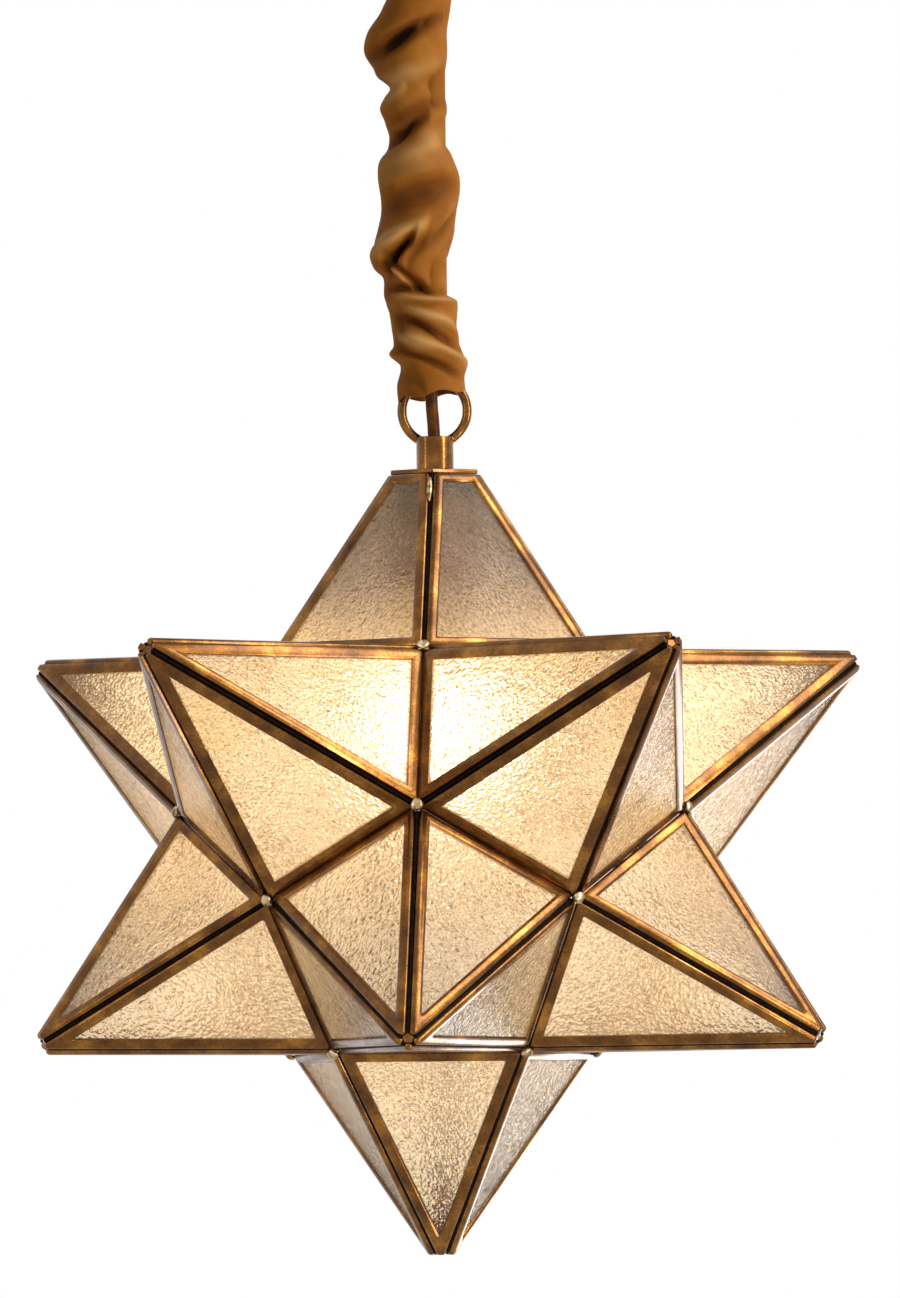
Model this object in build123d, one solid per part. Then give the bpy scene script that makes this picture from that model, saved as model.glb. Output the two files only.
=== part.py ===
from build123d import *
import math
import os

# Moravian star pendant: twelve five-sided glass points on a twelve-faced core,
# hung by a ring, a sleeved chain and a ceiling canopy. Millimetres, +Z up,
# -Y is the front, origin in the middle of the canopy's ceiling face.

# ---- rings of core corners, heights counted from the middle of the star ----
top_ring_radius = 72.5
top_ring_height = 87.0
upper_ring_radius = 113.5
upper_ring_height = 19.3
lower_ring_radius = 110.5
lower_ring_drop = 19.3
bottom_ring_radius = 69.0
bottom_ring_drop = 83.0

# ---- where the points would end if they ran out sharp ----
top_apex_height = 194.0
bottom_apex_drop = 177.7
high_tip_radius = 193.6
high_tip_height = 88.0
low_tip_radius = 180.9
low_tip_drop = 82.2
tip_cut = 7.4             # length cut off each sharp pane
rim_radius = 19.65        # corners of the opening where the top point stops, under the cap

# ---- brass channel and glass ----
channel_face = 5.0        # width of the strip seen from outside
channel_depth = 2.8       # thickness of a framed pane
channel_wall = 0.4
glass_play = 0.05         # to each side of the glass in its channel
glass_end_play = 0.3      # between the glass edge and the bottom of the channel
joint_gap = 0.12          # between two soldered frames
door_gap = 0.5            # round the point that opens
plug_play = 0.1
plug_length = 5.0
bead_radius = 2.8
bead_lift = 3.0           # middle of a solder drop, out from the corner it covers
bead_rise = 1.5
bead_sink = 2.2

# ---- cap, ring and lamp fittings ----
cap_overhang = 0.2
cap_edge = 0.9
cap_rise = 0.8
cap_slope = 76.0
seat_gap = 0.05
stem_radius = 8.05
stem_height = 14.6
ring_radius = 14.15       # middle of the wire
ring_wire = 2.05
ring_over_stem = 11.2     # ring middle above the stem's end
ring_sides = 40
wire_sides = 12
round_sides = 24          # facets round a small bar, tube or bore
turned_sides = 48         # facets round the dish, the lamp holder and the bulb
cord_bore = 3.6
nipple_radius = 4.8
nipple_bore = 3.0
nipple_grip = 7.0         # how far a nipple reaches into the stem
thread_play = 0.08
nut_radius = 8.0
nut_height = 3.0
strap_width = 11.0
strap_thickness = 1.5
strap_left_room = 10.65   # from the strap's left end to the circle of the rim's corners
strap_right_room = 7.15
strap_leg = 10.5
strap_splay = 24.0        # degrees the bent leg leans outwards
socket_radius = 17.0
socket_length = 46.0
socket_wall = 2.0
socket_cap_height = 8.0
socket_mouth = 13.5
bulb_base_radius = 13.2
bulb_base_length = 23.0
bulb_thread_pitch = 5.0
bulb_neck_radius = 14.2
bulb_waist_radius = 15.9
bulb_waist_drop = 16.2
bulb_wall = 1.0
bulb_globe_radius = 30.0
bulb_length = 81.0        # glass below the socket
bulb_flat = 0.12          # share of the globe's radius that is flat at its foot
bulb_drop_gap = 0.6

# ---- chain, power cord and sleeve ----
link_count = 6
link_wire = 1.1
link_half_width = 4.4     # middle of the wire
link_inner_length = 29.8
link_play = 0.15
loop_play = 0.3           # between an end link and the loop that it hangs in
link_bend_sides = 8
chain_turn = -60.0        # how the lowest link stands to the star's ring
cord_radius = 2.7
cord_reach = 5.85         # from the chain's middle to the cord beside it
sleeve_wall = 0.8
sleeve_play = 0.3
sleeve_cord_room = 1.5
sleeve_top_gap = 1.5      # below the wire of the canopy's loop
sleeve_twist = 2.6        # degrees the folds turn for each mm of height
hem_tilt = 0.13           # the hem rises towards the right

# ---- ceiling canopy ----
canopy_radius = 63.5
canopy_depth = 25.0
canopy_wall = 1.2
canopy_rim = 3.0          # height of its upright edge
canopy_shoulder = 50.0    # radius where the dish turns to the crown
canopy_shoulder_depth = 14.0
canopy_crown = 20.0
canopy_screw_spacing = 88.9
screw_hole_radius = 2.3
screw_radius = 2.0
screw_head_radius = 4.2
screw_head_height = 2.4
crossbar_width = 16.0
crossbar_thickness = 2.0
crossbar_length = 104.0
canopy_loop_turn = -30.0  # keeps its ring clear of the cord
box_screw_spacing = 70.0

# ---- door hinge ----
knuckle_radius = 2.5
knuckle_length = 12.0
knuckle_gap = 0.3
hinge_pin_radius = 1.1
hinge_play = 0.05
hinge_leaf = 0.6
hinge_leaf_width = 3.2
hinge_weld = 0.2
hinge_pin_head = 1.0
hinge_head_radius = 1.8

# ---------------------------------------------------------------- stations
rim_share = rim_radius / top_ring_radius
rim_height = top_apex_height - (top_apex_height - top_ring_height) * rim_share
loop_height = stem_height + ring_over_stem
ring_contact = ring_wire + link_wire + loop_play
link_length = link_inner_length + 2 * link_wire
link_pitch = link_inner_length - link_play

canopy_loop_z = -canopy_depth - loop_height
top_link_z = canopy_loop_z - ring_radius + ring_contact
chain_end_z = top_link_z - link_length - (link_count - 1) * link_pitch
star_loop_z = chain_end_z + ring_contact - ring_radius
cap_top_z = star_loop_z - loop_height


def corner(radius, height, azimuth):
    """Point at an azimuth counted from the front (-Y) towards the right (+X)."""
    turn = math.radians(azimuth)
    return Vector(radius * math.sin(turn), -radius * math.cos(turn), height)


def pane_normal(base_a, base_b, tip, inside):
    normal = (base_b - base_a).cross(tip - base_a).normalized()
    return normal if normal.dot(base_a - inside) > 0 else normal * -1


top = [corner(top_ring_radius, top_ring_height, 72 * k) for k in range(5)]
upper = [corner(upper_ring_radius, upper_ring_height, 72 * k) for k in range(5)]
lower = [corner(lower_ring_radius, -lower_ring_drop, 72 * k + 36) for k in range(5)]
bottom = [corner(bottom_ring_radius, -bottom_ring_drop, 72 * k + 36) for k in range(5)]

# name: (corners of its base in order, sharp tip)
points = {
    "point_top": (top, Vector(0, 0, top_apex_height)),
    "point_bottom": (bottom, Vector(0, 0, -bottom_apex_drop)),
}
side_names = ["front_right", "right", "back", "left", "front_left"]
for k, side in enumerate(side_names):
    base = [top[k], top[(k + 1) % 5], upper[(k + 1) % 5], lower[k], upper[k]]
    tip = corner(high_tip_radius, high_tip_height, 72 * k + 36)
    points["door" if side == "back" else "point_high_" + side] = (base, tip)
low_names = ["front", "right", "back_right", "back_left", "left"]
for k, side in enumerate(low_names):
    base = [upper[k], lower[k], bottom[k], bottom[k - 1], lower[k - 1]]
    points["point_low_" + side] = (base, corner(low_tip_radius, -low_tip_drop, 72 * k))


def edge_key(a, b):
    return frozenset(tuple(round(c, 3) for c in v) for v in (a, b))


normals = {}
owners = {}
for name, (base, tip) in points.items():
    middle = sum(base, Vector(0, 0, 0)) * 0.2
    normals[name] = []
    for k in range(5):
        a, b = base[k], base[(k + 1) % 5]
        normal = pane_normal(a, b, tip, middle)
        normals[name].append(normal)
        owners.setdefault(edge_key(a, b), []).append((name, normal))


def edge_inset(normal, other, gap):
    """How far a slab's edge stays back from the corner line it shares with another."""
    half_angle = math.radians(180 - normal.get_angle(other)) / 2
    return (channel_depth / 2) / math.tan(half_angle) + gap / 2 / math.sin(half_angle)


def inset(outline, distances):
    """Outline (counter-clockwise) with each side moved inwards by its own distance."""
    lines = []
    for k, (x, y) in enumerate(outline):
        dx = outline[(k + 1) % len(outline)][0] - x
        dy = outline[(k + 1) % len(outline)][1] - y
        size = math.hypot(dx, dy)
        lines.append((x - dy / size * distances[k], y + dx / size * distances[k], dx, dy))
    result = []
    for k, (x, y, dx, dy) in enumerate(lines):
        px, py, ex, ey = lines[k - 1]
        t = ((x - px) * dy - (y - py) * dx) / (ex * dy - ey * dx)
        result.append((px + ex * t, py + ey * t))
    return result


def slab(plane, outline, low, high):
    corners = [plane.from_local_coords(Vector(x, y, low)) for x, y in outline]
    return Solid.extrude(Face(Wire.make_polygon(corners)), plane.z_dir * (high - low))


def framed_pane(name, k):
    """One channel frame and its glass, as two solids."""
    base, tip = points[name]
    a, b = base[k], base[(k + 1) % 5]
    normal = normals[name][k]
    middle = (a + b) * 0.5
    if (b - a).cross(tip - a).dot(normal) < 0:
        a, b = b, a
        before, after = normals[name][(k + 1) % 5], normals[name][k - 1]
    else:
        before, after = normals[name][k - 1], normals[name][(k + 1) % 5]
    neighbour, other = [o for o in owners[edge_key(a, b)] if o[0] != name][0]
    valley_gap = door_gap if "door" in (name, neighbour) else joint_gap
    plane = Plane(origin=a, x_dir=b - a, z_dir=normal)
    tip_2d = plane.to_local_coords(tip)
    width = (b - a).length
    if name == "point_top":
        kept = 1 - rim_share
    else:
        kept = 1 - tip_cut / tip_2d.Y
    right = (width + (tip_2d.X - width) * kept, tip_2d.Y * kept)
    left = (tip_2d.X * kept, tip_2d.Y * kept)
    sides = [
        edge_inset(normal, other, valley_gap),
        edge_inset(normal, after, joint_gap),
        0,
        edge_inset(normal, before, joint_gap),
    ]
    outer = inset([(0, 0), (width, 0), right, left], sides)
    pocket = inset(outer, [channel_wall] * 4)
    pane = inset(outer, [channel_wall + glass_end_play] * 4)
    window = inset(outer, [channel_face] * 4)
    if window[2][0] <= window[3][0]:
        sharp = inset([(0, 0), (width, 0), (tip_2d.X, tip_2d.Y)], [sides[0], sides[1], sides[3]])
        window = inset(sharp, [channel_face] * 3)
    half = channel_depth / 2
    slot = half - channel_wall
    frame = slab(plane, outer, -half, half) - slab(plane, window, -half - 1, half + 1)
    frame = frame - slab(plane, pocket, -slot, slot)
    glass = slab(plane, pane, -slot + glass_play, slot - glass_play)
    return frame.solid(), glass


def meet(planes):
    """Corner shared by three planes, each given as (normal, distance)."""
    (n1, d1), (n2, d2), (n3, d3) = planes
    return (n2.cross(n3) * d1 + n3.cross(n1) * d2 + n1.cross(n2) * d3) / n1.dot(n2.cross(n3))


def closed_solid(polygons):
    return Solid(Shell([Face(Wire.make_polygon(p)) for p in polygons]))


def tip_plug(name):
    """Solder that closes the blunt end of a point, inside its five frames."""
    base, tip = points[name]
    axis = (tip - sum(base, Vector(0, 0, 0)) * 0.2).normalized()
    back = channel_depth / 2 + plug_play
    walls = [(n, n.dot(tip) - back) for n in normals[name]]
    ends = []
    for depth in (tip_cut, tip_cut + plug_length):
        flat = (axis, axis.dot(tip) - depth)
        ends.append([meet((walls[k], walls[(k + 1) % 5], flat)) for k in range(5)])
    sides = [[ends[0][k - 1], ends[0][k], ends[1][k], ends[1][k - 1]] for k in range(5)]
    return closed_solid(sides + ends)


def solder_bead(place):
    """Low six-sided drop of solder over a corner where three points meet."""
    out = place.normalized()
    plane = Plane(origin=place + out * bead_lift, z_dir=out)
    ring = []
    for k in range(6):
        turn = math.radians(60 * k)
        across = Vector(bead_radius * math.cos(turn), bead_radius * math.sin(turn), 0)
        ring.append(plane.from_local_coords(across))
    peaks = [plane.origin + out * bead_rise, plane.origin - out * bead_sink]
    return closed_solid([[ring[k - 1], ring[k], peak] for peak in peaks for k in range(6)])


def tube(outer, bore, low, high):
    """Small round bar or tube along Z, as flat facets."""
    body = extrude(Pos(0, 0, low) * RegularPolygon(outer, round_sides), high - low)
    if bore:
        body -= extrude(Pos(0, 0, low - 1) * RegularPolygon(bore, round_sides), high - low + 2)
    return body


def turned(outline):
    """Turned body through circles given as (radius, height), as flat facets."""
    rings = []
    for r, z in outline:
        turns = [2 * math.pi * k / turned_sides for k in range(turned_sides)]
        rings.append([Vector(r * math.cos(turn), r * math.sin(turn), z) for turn in turns])
    walls = []
    for low, high in zip(rings, rings[1:]):
        walls += [[low[k - 1], low[k], high[k], high[k - 1]] for k in range(turned_sides)]
    return closed_solid(walls + [rings[0], rings[-1]])


nodes = {}
star_parts = set()


def add(name, *solids, on_star=False):
    nodes[name] = list(solids)
    if on_star:
        star_parts.add(name)


# ---------------------------------------------------------------- star body
for name in points:
    framed = [framed_pane(name, k) for k in range(5)]
    add(name + "_frame", *[f for f, g in framed], on_star=True)
    add(name + "_glass", *[g for f, g in framed], on_star=True)
blunt = [n for n in points if n not in ("point_top", "door")]
add("tip_plugs", *[tip_plug(n) for n in blunt], on_star=True)
add("door_tip_plug", tip_plug("door"), on_star=True)
door_corners = {tuple(round(c, 3) for c in v) for v in points["door"][0]}
beads = [v for v in top + upper + lower + bottom
         if tuple(round(c, 3) for c in v) not in door_corners]
add("solder_beads", *[solder_bead(v) for v in beads], on_star=True)

# ---------------------------------------------------------------- door hinge
hinge_a, hinge_b = points["door"][0][0], points["door"][0][1]
door_normal = normals["door"][0]
fixed_normal = [n for o, n in owners[edge_key(hinge_a, hinge_b)] if o != "door"][0]
hinge_dir = (hinge_b - hinge_a).normalized()
middle = (hinge_a + hinge_b) * 0.5
stand_off = channel_depth / 2 + knuckle_radius + hinge_leaf
hinge_axis = meet((
    (door_normal, door_normal.dot(middle) + stand_off),
    (fixed_normal, fixed_normal.dot(middle) + stand_off),
    (hinge_dir, hinge_dir.dot(middle)),
))


def knuckle(start, name):
    """Hinge knuckle with the leaf that is soldered to the flange of the named point."""
    base, tip = points[name]
    normal = door_normal if name == "door" else fixed_normal
    inward = (tip - hinge_axis) - hinge_dir * (tip - hinge_axis).dot(hinge_dir)
    inward = (inward - normal * inward.dot(normal)).normalized()
    place = Plane(origin=hinge_axis + hinge_dir * start, z_dir=hinge_dir)
    face = Plane(origin=hinge_axis - normal * (knuckle_radius + hinge_leaf) + hinge_dir * start,
                 x_dir=inward, z_dir=normal)
    run = knuckle_length * (1 if face.y_dir.dot(hinge_dir) > 0 else -1)
    leaf = [(-hinge_leaf, 0), (hinge_leaf_width, 0), (hinge_leaf_width, run), (-hinge_leaf, run)]
    body = place * tube(knuckle_radius, 0, 0, knuckle_length)
    body += slab(face, leaf, seat_gap, hinge_leaf + hinge_weld)
    return (body - place * tube(hinge_pin_radius + hinge_play, 0, -1, knuckle_length + 1)).solid()


step = knuckle_length + knuckle_gap
first = -step - knuckle_length / 2
pin_span = 3 * knuckle_length + 2 * knuckle_gap
add("hinge_fixed_knuckles", knuckle(first, "point_top"), knuckle(first + 2 * step, "point_top"),
    on_star=True)
add("hinge_door_knuckle", knuckle(first + step, "door"), on_star=True)
low = first - seat_gap - hinge_pin_head
high = first + pin_span + seat_gap
pin = tube(hinge_pin_radius, 0, low, high + hinge_pin_head)
pin += tube(hinge_head_radius, 0, low, low + hinge_pin_head)
pin += tube(hinge_head_radius, 0, high, high + hinge_pin_head)
add("hinge_pin", Plane(origin=hinge_axis, z_dir=hinge_dir) * pin.solid(), on_star=True)

# ---------------------------------------------------------------- cap
rim_normal = normals["point_top"][0]
rim_out = math.hypot(rim_normal.X, rim_normal.Y) * channel_depth / 2 / math.cos(math.radians(36))
cap_low = rim_height + rim_normal.Z * channel_depth / 2 + seat_gap
cap_radius = rim_radius + rim_out + cap_overhang
cap_high = cap_low + cap_edge + cap_rise


def pentagon(radius):
    return RegularPolygon(radius, 5, rotation=-90)


cap = extrude(Pos(0, 0, cap_low) * pentagon(cap_radius), cap_edge)
cap += extrude(Pos(0, 0, cap_low + cap_edge) * pentagon(cap_radius), cap_rise, taper=cap_slope)
cap -= tube(nipple_radius + thread_play, 0, cap_low - 1, cap_high + 1)
add("top_cap", cap.solid(), on_star=True)


def bent_wire(path, wire):
    """Round wire, as flat facets, along a closed path given as (x, z) pairs."""
    rings = []
    for k, (x, z) in enumerate(path):
        before, after = path[k - 1], path[(k + 1) % len(path)]
        into = Vector(x - before[0], 0, z - before[1]).normalized()
        out = Vector(after[0] - x, 0, after[1] - z).normalized()
        across = (into + out).normalized().cross(Vector(0, 1, 0))
        stretch = 1 / math.cos(math.radians(into.get_angle(out)) / 2)
        ring = []
        for j in range(wire_sides):
            turn = 2 * math.pi * (j + 0.5) / wire_sides
            offset = across * (wire * math.cos(turn) * stretch)
            ring.append(Vector(x, wire * math.sin(turn), z) + offset)
        rings.append(ring)
    walls = []
    for k, ring in enumerate(rings):
        last = rings[k - 1]
        for j in range(wire_sides):
            walls.append([last[j - 1], last[j], ring[j], ring[j - 1]])
    return closed_solid(walls)


def arc_points(centre_z, radius, start, end, count):
    """Points on an arc in the XZ plane, angles counted from +X towards +Z."""
    result = []
    for k in range(count + 1):
        turn = math.radians(start + (end - start) * k / count)
        result.append((radius * math.cos(turn), centre_z + radius * math.sin(turn)))
    return result


def bored_loop():
    """Cast stem and ring in one, bored for the cord, standing on z = 0 in the XZ plane."""
    stem = tube(stem_radius, 0, 0, stem_height)
    ring = bent_wire(arc_points(loop_height, ring_radius, 0, 360, ring_sides)[:-1], ring_wire)
    body = stem + ring
    body -= tube(cord_bore, 0, -1, stem_height + 2 * ring_wire)
    body -= tube(nipple_radius + thread_play, 0, -1, nipple_grip + seat_gap)
    return body.solid()


add("hanging_loop", Pos(0, 0, cap_high) * bored_loop(), on_star=True)
strap_z = cap_low - seat_gap - strap_thickness
nut_z = strap_z - seat_gap - nut_height
socket_top = nut_z - seat_gap
nipple_low = socket_top - socket_cap_height / 2
add("nipple", tube(nipple_radius, nipple_bore, nipple_low, cap_high + nipple_grip), on_star=True)

lean = math.radians(strap_splay)
down, across = strap_leg * math.cos(lean), strap_leg * math.sin(lean)
thick_x, thick_z = strap_thickness * math.cos(lean), strap_thickness * math.sin(lean)
strap_left = rim_radius - strap_left_room
strap_right = rim_radius - strap_right_room
inner_corner = strap_right - strap_thickness * math.tan((math.pi / 2 - lean) / 2)
strap_outline = [
    (-strap_left, strap_thickness), (-strap_left, 0), (inner_corner, 0),
    (strap_right + across - thick_x, strap_thickness - down - thick_z),
    (strap_right + across, strap_thickness - down), (strap_right, strap_thickness),
]
strap_face = Face(Wire.make_polygon([Vector(x, -strap_width / 2, z) for x, z in strap_outline]))
strap = Pos(0, 0, strap_z) * Solid.extrude(strap_face, Vector(0, strap_width, 0))
strap -= tube(nipple_radius + thread_play, 0, strap_z - 2, strap_z + strap_thickness + 2)
add("cap_strap", strap.solid(), on_star=True)


def hex_nut(low):
    nut = extrude(Pos(0, 0, low) * RegularPolygon(nut_radius, 6), nut_height)
    return (nut - tube(nipple_radius + thread_play, 0, low - 1, low + nut_height + 1)).solid()


add("cap_locknut", hex_nut(nut_z), on_star=True)

# ---------------------------------------------------------------- lamp holder and bulb
socket_low = socket_top - socket_length
holder = turned([
    (socket_radius, socket_low),
    (socket_radius, socket_top - socket_cap_height),
    (nut_radius, socket_top),
])
holder -= turned([
    (socket_mouth, socket_low - 1),
    (socket_mouth, socket_top - socket_cap_height - 2 * socket_wall),
    (nipple_radius + thread_play, socket_top - socket_cap_height - socket_wall),
    (nipple_radius + thread_play, socket_top + 1),
])
add("lamp_holder", holder.solid(), on_star=True)

base_top = socket_low + bulb_base_length
step_count = int(bulb_base_length * 0.7 / bulb_thread_pitch)
crest, root_radius = bulb_base_radius, bulb_base_radius - 0.8
thread = [(4.5, base_top), (crest - 3, base_top - 3)]
for k in range(step_count):
    z = base_top - 4 - k * bulb_thread_pitch
    thread += [(root_radius, z), (crest, z - bulb_thread_pitch / 2)]
thread.append((root_radius, socket_low - bulb_drop_gap))
add("bulb_base", turned(thread).solid(), on_star=True)

glass_top = socket_low - bulb_drop_gap - seat_gap
globe_z = glass_top - bulb_length + bulb_globe_radius


def bulb_body(shrink, rise):
    """Bulb shape, smaller all round by shrink and carried up past its neck by rise."""
    globe = bulb_globe_radius - shrink
    outline = [(bulb_neck_radius - shrink, glass_top + rise),
               (bulb_waist_radius - shrink, glass_top - bulb_waist_drop)]
    for turn in (35, 8, -20, -48, -72):
        slope = math.radians(turn)
        outline.append((globe * math.cos(slope), globe_z + globe * math.sin(slope)))
    outline.append((globe * bulb_flat, globe_z - globe))
    return turned(outline)


add("bulb_glass", (bulb_body(0, 0) - bulb_body(bulb_wall, 1)).solid(), on_star=True)

# ---------------------------------------------------------------- put the star under the chain
star_z = cap_top_z - cap_high
for name in star_parts:
    nodes[name] = [Pos(0, 0, star_z) * s for s in nodes[name]]

# ---------------------------------------------------------------- canopy and its loop
canopy_profile = [
    (canopy_radius, 0), (canopy_radius, -canopy_rim),
    (canopy_shoulder, -canopy_shoulder_depth), (canopy_crown, -canopy_depth),
]
inner_profile = [(r - canopy_wall, z + canopy_wall) for r, z in canopy_profile]


screw_spots = [(side * canopy_screw_spacing / 2, 0) for side in (1, -1)]
canopy = turned(canopy_profile) - turned(inner_profile)
canopy -= tube(nipple_radius + thread_play, 0, -canopy_depth - 1, 0)
for x, y in screw_spots:
    canopy -= Pos(x, y, 0) * tube(screw_hole_radius, 0, -canopy_depth - 1, 1)
add("canopy_dish", canopy.solid())
add("canopy_loop",
    Pos(0, 0, -canopy_depth) * Rot(0, 0, canopy_loop_turn) * Rot(180, 0, 0) * bored_loop())
canopy_floor = -canopy_depth + canopy_wall
canopy_nut_z = canopy_floor + seat_gap
add("canopy_nipple", tube(nipple_radius, nipple_bore, -canopy_depth - nipple_grip,
                          canopy_nut_z + nut_height + 2))
add("canopy_locknut", hex_nut(canopy_nut_z))

def round_hole(x, radius):
    return Pos(x, 0, 0) * Cylinder(radius, 4 * crossbar_thickness)


bar = Box(crossbar_length, crossbar_width, crossbar_thickness,
          align=(Align.CENTER, Align.CENTER, Align.MAX))
for side in (1, -1):
    bar -= round_hole(side * canopy_screw_spacing / 2, screw_radius + thread_play)
    bar -= round_hole(side * box_screw_spacing / 2, screw_hole_radius)
bar -= round_hole(0, nipple_radius + thread_play)
add("crossbar", bar.solid())


def dish_bottom(radius):
    """Height of the dish's outer face at a radius between its shoulder and its crown."""
    share = (canopy_shoulder - radius) / (canopy_shoulder - canopy_crown)
    return -canopy_shoulder_depth + (canopy_shoulder_depth - canopy_depth) * share


screw_seat = dish_bottom(canopy_screw_spacing / 2 - screw_head_radius) - seat_gap
screws = []
for x, y in screw_spots:
    shank = Pos(x, y, 0) * tube(screw_radius, 0, screw_seat, -crossbar_thickness / 10)
    head = Pos(x, y, 0) * tube(screw_head_radius, 0, screw_seat - screw_head_height, screw_seat)
    screws.append((shank + head).solid())
add("canopy_screws", *screws)


# ---------------------------------------------------------------- chain
def chain_link(top_z, turn):
    """Oval wire link whose upper bend has its wire's middle at top_z."""
    half = link_half_width
    path = arc_points(-half, half, 0, 180, link_bend_sides)
    path += arc_points(half - link_length, half, 180, 360, link_bend_sides)
    return Pos(0, 0, top_z) * Rot(0, 0, turn) * bent_wire(path, link_wire)


links = []
for k in range(link_count):
    turn = chain_turn + 90 * ((link_count - 1 - k) % 2)
    links.append(chain_link(top_link_z - k * link_pitch, turn))
add("top_link", links[0])
add("chain_links", *links[1:-1])
add("bottom_link", links[-1])

# ---------------------------------------------------------------- power cord
slot = math.radians(chain_turn - 45)
slot_x, slot_y = cord_reach * math.cos(slot), cord_reach * math.sin(slot)
clear = link_wire + cord_radius / 2
lower_mouth = cap_top_z + stem_height
upper_mouth = -canopy_depth - stem_height
chain_low_z = chain_end_z - clear
chain_high_z = top_link_z + clear
cord_points = [
    Vector(0, 0, nipple_low + star_z + 1),
    Vector(0, 0, lower_mouth + 1.5),
    Vector(slot_x, slot_y, chain_low_z),
    Vector(slot_x, slot_y, chain_high_z),
    Vector(0, 0, upper_mouth - 1.5),
    Vector(0, 0, canopy_floor + nut_height + 4),
]


def bend_radius(k):
    into, out = cord_points[k] - cord_points[k - 1], cord_points[k + 1] - cord_points[k]
    turn = math.radians(into.get_angle(out))
    return min(0.45 * min(into.length, out.length) / math.tan(turn / 2), 60.0)


radii = [bend_radius(k) for k in range(1, len(cord_points) - 1)]
print("cord bend radii", [round(r, 1) for r in radii])
cord_path = FilletPolyline(*cord_points, radius=radii)
cord_start = Plane(origin=cord_points[0], z_dir=(0, 0, 1))
cord = sweep(cord_start * Circle(cord_radius), path=cord_path)
cord_length = sum((w.length for w in cord_path.edges()), 0)
print("cord length", round(cord_length, 1), "volume share",
      round(cord.volume / (math.pi * cord_radius ** 2 * cord_length), 4))
add("power_cord", cord.solid())

# ---------------------------------------------------------------- fabric sleeve
# height above the middle of the star's ring, then how far the cloth stands out
# to the left and to the right of the chain, half its depth, and how deep it folds
sleeve_stations = [
    (6.8, 17.3, 15.6, 11.5, 0.1), (13.0, 16.8, 14.8, 12.0, 0.1), (20.7, 14.9, 14.2, 12.0, 0.4),
    (26.0, 20.5, 10.4, 11.4, 0.6), (32.4, 17.6, 11.2, 11.0, 0.6), (42.5, 18.6, 8.8, 10.8, 0.6),
    (54.0, 21.0, 7.6, 10.8, 0.6), (61.5, 22.0, 7.2, 10.8, 0.6), (68.5, 26.3, 7.6, 11.2, 0.6),
    (83.0, 24.5, 10.0, 11.6, 0.6), (101.0, 24.0, 11.4, 11.8, 0.6), (118.5, 18.6, 7.2, 10.8, 0.6),
    (133.0, 22.4, 7.6, 10.8, 0.6), (140.0, 18.6, 7.2, 10.8, 0.6), (155.0, 28.4, 7.2, 11.4, 0.6),
]
sleeve_sides = 16
lining_x = link_half_width + link_wire + sleeve_play
lining_front = cord_reach + cord_radius + sleeve_cord_room


def half_ellipse(left, right, front, back, turn):
    """Reach from the chain's axis in one direction, from four quarter ellipses."""
    x, y = math.cos(turn), math.sin(turn)
    return 1 / math.hypot(x / (left if x < 0 else right), y / (front if y < 0 else back))


def cloth_ring(height, left, right, depth, fold, tilt=0.0):
    ring = []
    for k in range(sleeve_sides):
        turn = 2 * math.pi * k / sleeve_sides
        lining = half_ellipse(lining_x, lining_x, lining_front, lining_x, turn)
        least = lining / math.cos(math.pi / sleeve_sides) + sleeve_wall
        reach = max(half_ellipse(left, right, depth, depth, turn), least)
        crease = 0.5 + 0.5 * math.cos(4 * turn + math.radians(sleeve_twist * height))
        reach -= (reach - least) * fold * crease * math.sin(turn) ** 2
        x = reach * math.cos(turn)
        ring.append(Vector(x, reach * math.sin(turn), star_loop_z + height + tilt * x))
    return ring


def lining_ring(height, left, right, back):
    ring = []
    for k in range(sleeve_sides):
        turn = 2 * math.pi * k / sleeve_sides
        reach = half_ellipse(left, right, lining_front, back, turn)
        reach /= math.cos(math.pi / sleeve_sides)
        ring.append(Vector(reach * math.cos(turn), reach * math.sin(turn), star_loop_z + height))
    return ring


def skin(rings):
    walls = []
    for low, high in zip(rings, rings[1:]):
        for k in range(sleeve_sides):
            walls.append([low[k - 1], low[k], high[k]])
            walls.append([low[k - 1], high[k], high[k - 1]])
    return closed_solid(walls + [rings[0], rings[-1]])


sleeve_height = canopy_loop_z - ring_radius - ring_wire - sleeve_top_gap - star_loop_z
hem, rest = sleeve_stations[0], sleeve_stations[1:]
cloth = [cloth_ring(*hem, tilt=hem_tilt)] + [cloth_ring(*station) for station in rest]
cloth.append(cloth_ring(sleeve_height, *sleeve_stations[-1][1:]))
lining = skin([
    lining_ring(hem[0] - 4, 16.7, 15.6, 7.4), lining_ring(9, 15.1, 14.3, 7.4),
    lining_ring(13.5, 11.5, 11.5, 7.0), lining_ring(18, lining_x, lining_x, lining_x),
    lining_ring(sleeve_height + 1, lining_x, lining_x, lining_x),
])
add("fabric_sleeve", (skin(cloth) - lining).solid())

# ---------------------------------------------------------------- export
os.makedirs("parts", exist_ok=True)
for name, solids in nodes.items():
    shape = solids[0] if len(solids) == 1 else Compound(children=[Solid(s.wrapped) for s in solids])
    export_step(shape, "parts/" + name + ".step")
print(len(nodes), "nodes")
pivots = {
    "canopy loop": canopy_loop_z - ring_radius,
    "top link": top_link_z - link_length,
    "chain": chain_end_z + link_pitch,
    "bottom link": chain_end_z,
}
print("star middle", round(star_z, 3), "ring middle", round(star_loop_z, 3))
print({name: round(z, 3) for name, z in pivots.items()})
print("door hinge", [round(c, 3) for c in hinge_axis + Vector(0, 0, star_z)], tuple(hinge_dir))
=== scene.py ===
import bpy
import math
from mathutils import Matrix, Vector


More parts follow.
